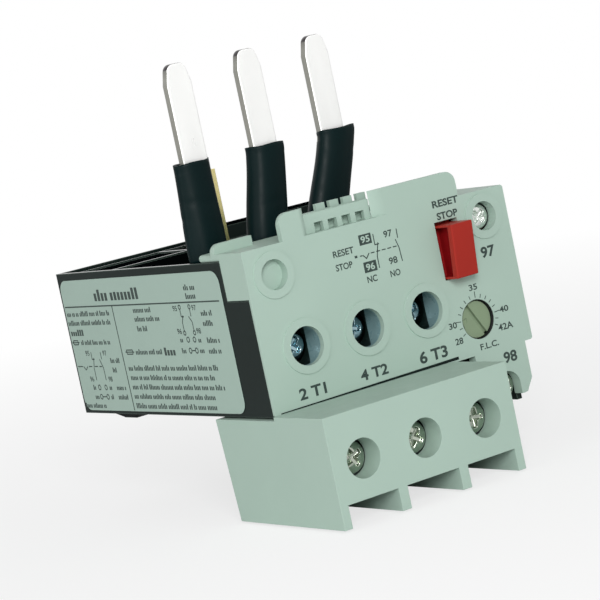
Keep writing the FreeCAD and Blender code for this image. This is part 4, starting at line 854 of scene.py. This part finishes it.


# Return spring: drawn steel wire, cold coiled round the button's stem with its end turns closed.
# It stands on the mechanism frame; in the real relay it shortens as the button goes in.
SPRING_TURNS = 6
SPRING_CLOSED = 0.6
SPRING_SOFT = 0.25
SPRING_WIRE = 0.25
SPRING_STEPS = 28
WIRE_SIDES = 10
spring_steel = plated_metal("spring_wire", srgb(176, 178, 180), 0.28)
spring_length = spring_high.y - spring_low.y - 2 * SPRING_WIRE
coil = (spring_high.x - spring_low.x) / 2 - SPRING_WIRE
mesh = bmesh.new()
rings = []
for step in range(SPRING_TURNS * SPRING_STEPS + 1):
    share = step / (SPRING_TURNS * SPRING_STEPS)
    turn = math.tau * step / SPRING_STEPS
    climb = eased((share * SPRING_TURNS - SPRING_CLOSED) / (SPRING_TURNS - 2 * SPRING_CLOSED), SPRING_SOFT)
    y = spring_low.y + SPRING_WIRE + spring_length * climb
    points = []
    for side in range(WIRE_SIDES):
        around = math.tau * side / WIRE_SIDES
        reach = coil + SPRING_WIRE * math.cos(around)
        points.append((stem_x + reach * math.cos(turn), y + SPRING_WIRE * math.sin(around),
                       stem_z + reach * math.sin(turn)))
    rings.append(ring_of(mesh, points))
for before, after in zip(rings, rings[1:]):
    join_rings(mesh, before, after)
for end in (rings[0], rings[-1]):
    mesh.faces.new(end)
return_spring = new_piece("return_spring", mesh, spring_steel, "relay")
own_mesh(return_spring)
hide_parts("reset_spring")


# Terminal block: the same grey moulding as the cover, hung on its lower edge and open below for the wires.
# In each bay a pressed steel cage climbs on a pan head screw and clamps the wire to the bar. The dark line
# between cover and block is a thin strip laid on the cover, for the shadow of their gap.
BLOCK_ARRIS = 0.00025
CAGE_ARRIS = 0.00015
SEAM_LEFT = 1.5
SEAM_PAST = 1.9
SEAM_LOW_END = 0.2
SEAM_HIGH_END = 0.6
SEAM_LIFT = 0.06
SEAM_SINK = 0.02
round_arrises(finish_node("terminal_block", cover_grey), BLOCK_ARRIS)
block_high = drawn(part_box("terminal_block")[1])
seam_right = block_high.x + SEAM_PAST
mesh = bmesh.new()
seam_ends = [ring_of(mesh, ((SEAM_LEFT, y, block_high.z), (seam_right, y, block_high.z),
                            (seam_right, y, block_high.z + SEAM_HIGH_END),
                            (SEAM_LEFT, y, block_high.z + SEAM_LOW_END))) for y in (-SEAM_LIFT, SEAM_SINK)]
for end in seam_ends:
    mesh.faces.new(end)
join_rings(mesh, *seam_ends)
new_piece("block_seam", mesh, housing_black, "relay", smooth=False)
cage_steel = plated_metal("cage_steel", srgb(140, 146, 148), 0.42)
for pole in POLES:
    round_arrises(finish_node(f"clamp_cage_{pole}", cage_steel), CAGE_ARRIS)
    cross_screw(f"block_screw_{pole}", bright_zinc, 0.5 * pole, **(LARGE_HEAD | {"crown": 0.75}))


# Rating label: silver-grey polyester film with rounded corners, stuck in the shallow sink of the left side.
# Its table of rules, contact symbols and small print is dark ink; the print is dabs that say nothing.
LABEL_ARRIS = 0.00004
RULE_LINE = 0.3
SYMBOL_LINE = 0.24
DAB_WIDTH = 0.36
DAB_SPACE = 0.2
WORD_SPACE = 0.4
DAB_HEIGHTS = (0.68, 0.68, 0.72, 1.0)
FUSE_HALF = 0.45
FUSE_END = 0.6
CONTACT_DROP = 1.6
CONTACT_ARM = 1.0
KNEE_DROP = 0.4
FIGURE_WIDTH = 1.7
FIGURE_HEIGHT = 1.15
FIGURE_BOLD = 0.01
label_film = surface("label_film", srgb(160, 182, 171), 0.36, cloud=0.03, cloud_scale=140, grain=0.06)
round_arrises(finish_node("rating_label", label_film), LABEL_ARRIS)
printed_strokes("label_rules", [(76.9, 24.0, 11.4, 23.8, RULE_LINE), (55.55, 23.8, 55.4, 0.9, RULE_LINE)],
                side="left")
dab_sizes = random.Random(7)


def small_print(high, low, middle, height, weight=DAB_WIDTH):
    """A row of dabs the size of letters, in groups the size of words, between two stations of the label."""
    dabs = []
    station = high
    word = dab_sizes.randint(2, 8)
    while station - height * weight > low:
        tall = height * dab_sizes.choice(DAB_HEIGHTS)
        level = middle - height * 0.5 + tall / 2
        dabs.append((station, level, station - height * weight, level, tall))
        station -= height * (weight + DAB_SPACE)
        word -= 1
        if word == 0:
            station -= height * WORD_SPACE
            word = dab_sizes.randint(2, 8)
    return dabs


def symbol_lines(*lines):
    """Lines of a symbol, each (start across, start up, end across, end up)."""
    return [(*line, SYMBOL_LINE) for line in lines]


def small_ring(across, up, radius=0.55):
    """A terminal's ring, as short strokes."""
    turns = [math.tau * step / 8 for step in range(9)]
    points = [(across + radius * math.cos(turn), up + radius * math.sin(turn)) for turn in turns]
    return symbol_lines(*((*start, *end) for start, end in zip(points, points[1:])))


def fuse_symbol(high, low, middle):
    """A fuse: an outlined bar with a line through it."""
    top, bottom = middle + FUSE_HALF, middle - FUSE_HALF
    inner_high, inner_low = high - FUSE_END, low + FUSE_END
    return symbol_lines((inner_high, top, inner_low, top), (inner_high, bottom, inner_low, bottom),
                        (inner_high, bottom, inner_high, top), (inner_low, bottom, inner_low, top),
                        (high, middle, low, middle))


def contact_pair(closed, opened, top, bottom):
    """A closed and an open contact, side by side."""
    knee = (top + bottom) / 2 - KNEE_DROP
    gap = top - CONTACT_DROP
    return symbol_lines((closed, top, closed, gap), (closed, gap, closed - CONTACT_ARM, gap),
                        (closed - 0.8, gap + 0.3, closed, knee), (closed, knee, closed, bottom),
                        (opened, top, opened, gap), (opened + CONTACT_ARM, gap, opened, knee),
                        (opened, knee, opened, bottom))


table = small_print(62.5, 41.3, 26.3, 2.5, 0.42)
table += small_print(24.2, 19.8, 26.9, 1.2) + small_print(24.0, 20.2, 25.1, 1.2)
for row in (
        (76.6, 57.0, 22.4, 1.15), (76.8, 57.0, 20.4, 1.15), (76.6, 70.8, 18.2, 1.4, 0.5),
        (72.9, 59.3, 16.0, 1.1), (61.4, 56.9, 11.9, 1.1), (61.2, 59.2, 9.8, 1.1),
        (71.7, 70.2, 5.9, 1.1), (64.4, 62.8, 5.9, 1.1), (61.1, 56.7, 5.9, 1.1), (71.7, 70.0, 3.8, 1.1),
        (64.5, 62.9, 3.8, 1.1), (61.2, 56.7, 3.8, 1.1), (77.0, 67.2, 1.8, 1.1),
        (46.8, 39.1, 22.7, 1.15), (46.9, 36.3, 20.8, 1.15), (46.6, 41.6, 18.7, 1.15),
        (19.4, 15.3, 21.5, 1.15), (19.4, 15.6, 19.4, 1.15), (29.8, 28.2, 16.1, 1.1),
        (22.6, 21.0, 16.0, 1.1), (19.2, 14.3, 15.9, 1.15), (49.4, 37.9, 13.7, 1.15),
        (37.3, 32.1, 13.7, 1.7, 0.5), (30.0, 28.1, 13.8, 1.1), (22.8, 21.1, 13.8, 1.1),
        (19.4, 14.3, 13.7, 1.15), (54.0, 17.2, 10.2, 1.15), (53.9, 19.4, 8.15, 1.15),
        (54.0, 15.9, 6.1, 1.15), (54.1, 20.4, 4.05, 1.15), (54.1, 20.8, 1.95, 1.15)):
    table += small_print(*row)
printed_strokes("label_small_print", table, side="left")
symbols = fuse_symbol(77.0, 73.7, 16.0) + fuse_symbol(53.9, 50.1, 13.7)
for back, front, unlinked, linked in ((68.9, 66.0, 5.9, 3.8), (26.6, 24.1, 16.1, 13.8)):
    symbols += small_ring(back, unlinked) + small_ring(front, unlinked)
    symbols += small_ring(back, linked) + small_ring(front, linked)
    symbols += symbol_lines((back - 0.5, linked, front + 0.5, linked))
symbols += contact_pair(69.5, 65.2, 13.8, 7.5) + contact_pair(27.4, 23.5, 22.5, 17.8)
for level in (22.9, 17.5):
    symbols += small_ring(27.4, level, 0.45) + small_ring(23.5, level, 0.45)
symbols += symbol_lines((76.8, 10.6, 74.6, 10.6), (74.2, 10.6, 73.3, 9.8), (73.3, 9.8, 72.3, 10.6),
                        (71.7, 10.6, 70.2, 10.6), (69.0, 10.6, 67.6, 10.6), (66.9, 10.6, 65.8, 10.6))
printed_strokes("label_symbols", symbols, side="left")
for name, words, high, bottom in (("label_95", "95", 72.0, 13.0), ("label_97", "97", 64.2, 13.0),
                                  ("label_96", "96", 72.4, 7.2), ("label_98", "98", 64.0, 7.2),
                                  ("label_95_right", "95", 30.2, 22.1), ("label_97_right", "97", 22.6, 22.1),
                                  ("label_96_right", "96", 30.2, 17.3), ("label_98_right", "98", 22.6, 17.3)):
    printed_word(name, words, high - FIGURE_WIDTH, high, bottom, bottom + FIGURE_HEIGHT, FIGURE_BOLD,
                 side="left")


# The room: a plain pale floor just below the relay, soft studio lamps near the camera, and the camera.
# The floor fades into the white of the room, so that no line shows where it ends.
FLOOR_HALF = 4
FLOOR_LEVEL = cad_low.z - 0.0005
FLOOR_WHITE = 0.72
FADE_FROM = 0.08
FADE_TO = 0.45
SOFT_LIGHT = 0.33


def show_white(tree, share, lit, white, output):
    """Let white stand in for a lit shader by a share."""
    whiten = tree.nodes.new("ShaderNodeMixShader")
    for number, source in enumerate((share, lit, white)):
        tree.links.new(source, whiten.inputs[number])
    tree.links.new(whiten.outputs["Shader"], tree.nodes[output].inputs["Surface"])


floor_mesh = bpy.data.meshes.new("floor")
floor_mesh.from_pydata([(x * FLOOR_HALF, y * FLOOR_HALF, FLOOR_LEVEL)
                        for x, y in ((-1, -1), (1, -1), (1, 1), (-1, 1))], [], [(0, 1, 2, 3)])
floor = bpy.data.objects.new("floor", floor_mesh)
bpy.context.scene.collection.objects.link(floor)
pale, tree, shader, where = new_skin("pale_floor")
noise_between(tree, where, 3, 3, shader.inputs["Base Color"], (0.86, 0.87, 0.87, 1), (0.93, 0.94, 0.94, 1))
noise_between(tree, where, 14, 3, shader.inputs["Roughness"], 0.75, 0.9)
distance = tree.nodes.new("ShaderNodeVectorMath")
distance.operation = "LENGTH"
tree.links.new(where, distance.inputs[0])
fade = spread(tree, distance.outputs["Value"], FLOOR_WHITE, 1, FADE_FROM, FADE_TO)
seen = tree.nodes.new("ShaderNodeLightPath").outputs["Is Camera Ray"]
glow = tree.nodes.new("ShaderNodeEmission")
show_white(tree, worked(tree, "MULTIPLY", fade, seen), shader.outputs["BSDF"], glow.outputs["Emission"],
           "Material Output")
floor_mesh.materials.append(pale)

world = bpy.data.worlds.new("studio")
world.use_nodes = True
bpy.context.scene.world = world
tree = world.node_tree
soft_light = tree.nodes["Background"]
soft_light.inputs["Color"].default_value = (1, 1, 1, 1)
soft_light.inputs["Strength"].default_value = SOFT_LIGHT
white = tree.nodes.new("ShaderNodeBackground")
white.inputs["Color"].default_value = (1, 1, 1, 1)
rays = tree.nodes.new("ShaderNodeLightPath").outputs
shows = worked(tree, "MAXIMUM", worked(tree, "MAXIMUM", rays["Is Camera Ray"], rays["Is Glossy Ray"]),
               rays["Is Transmission Ray"])
show_white(tree, shows, soft_light.outputs["Background"], white.outputs["Background"], "World Output")


def lamp(name, spot, size, power):
    """A soft square lamp aimed at the relay."""
    light = bpy.data.lights.new(name, "AREA")
    light.size = size
    light.energy = power
    thing = bpy.data.objects.new(name, light)
    bpy.context.scene.collection.objects.link(thing)
    thing.location = spot
    thing.rotation_euler = (Vector(spot) * -1).to_track_quat("-Z", "Y").to_euler()


lamp("key", (-0.42, -0.75, 0.3), 0.3, 5.6)
lamp("fill", (-0.9, -0.2, 0.15), 0.5, 1.6)

camera = bpy.data.cameras.new("camera")
camera.lens = 143.49
camera.sensor_width = 36
camera.clip_start = 0.01
viewer = bpy.data.objects.new("camera", camera)
bpy.context.scene.collection.objects.link(viewer)
viewer.location = (-0.26559, -0.41570, 0.01812)
viewer.rotation_euler = (1.46477, 0.20617, -0.59212)
bpy.context.scene.camera = viewer
bpy.context.scene.view_settings.view_transform = "Standard"
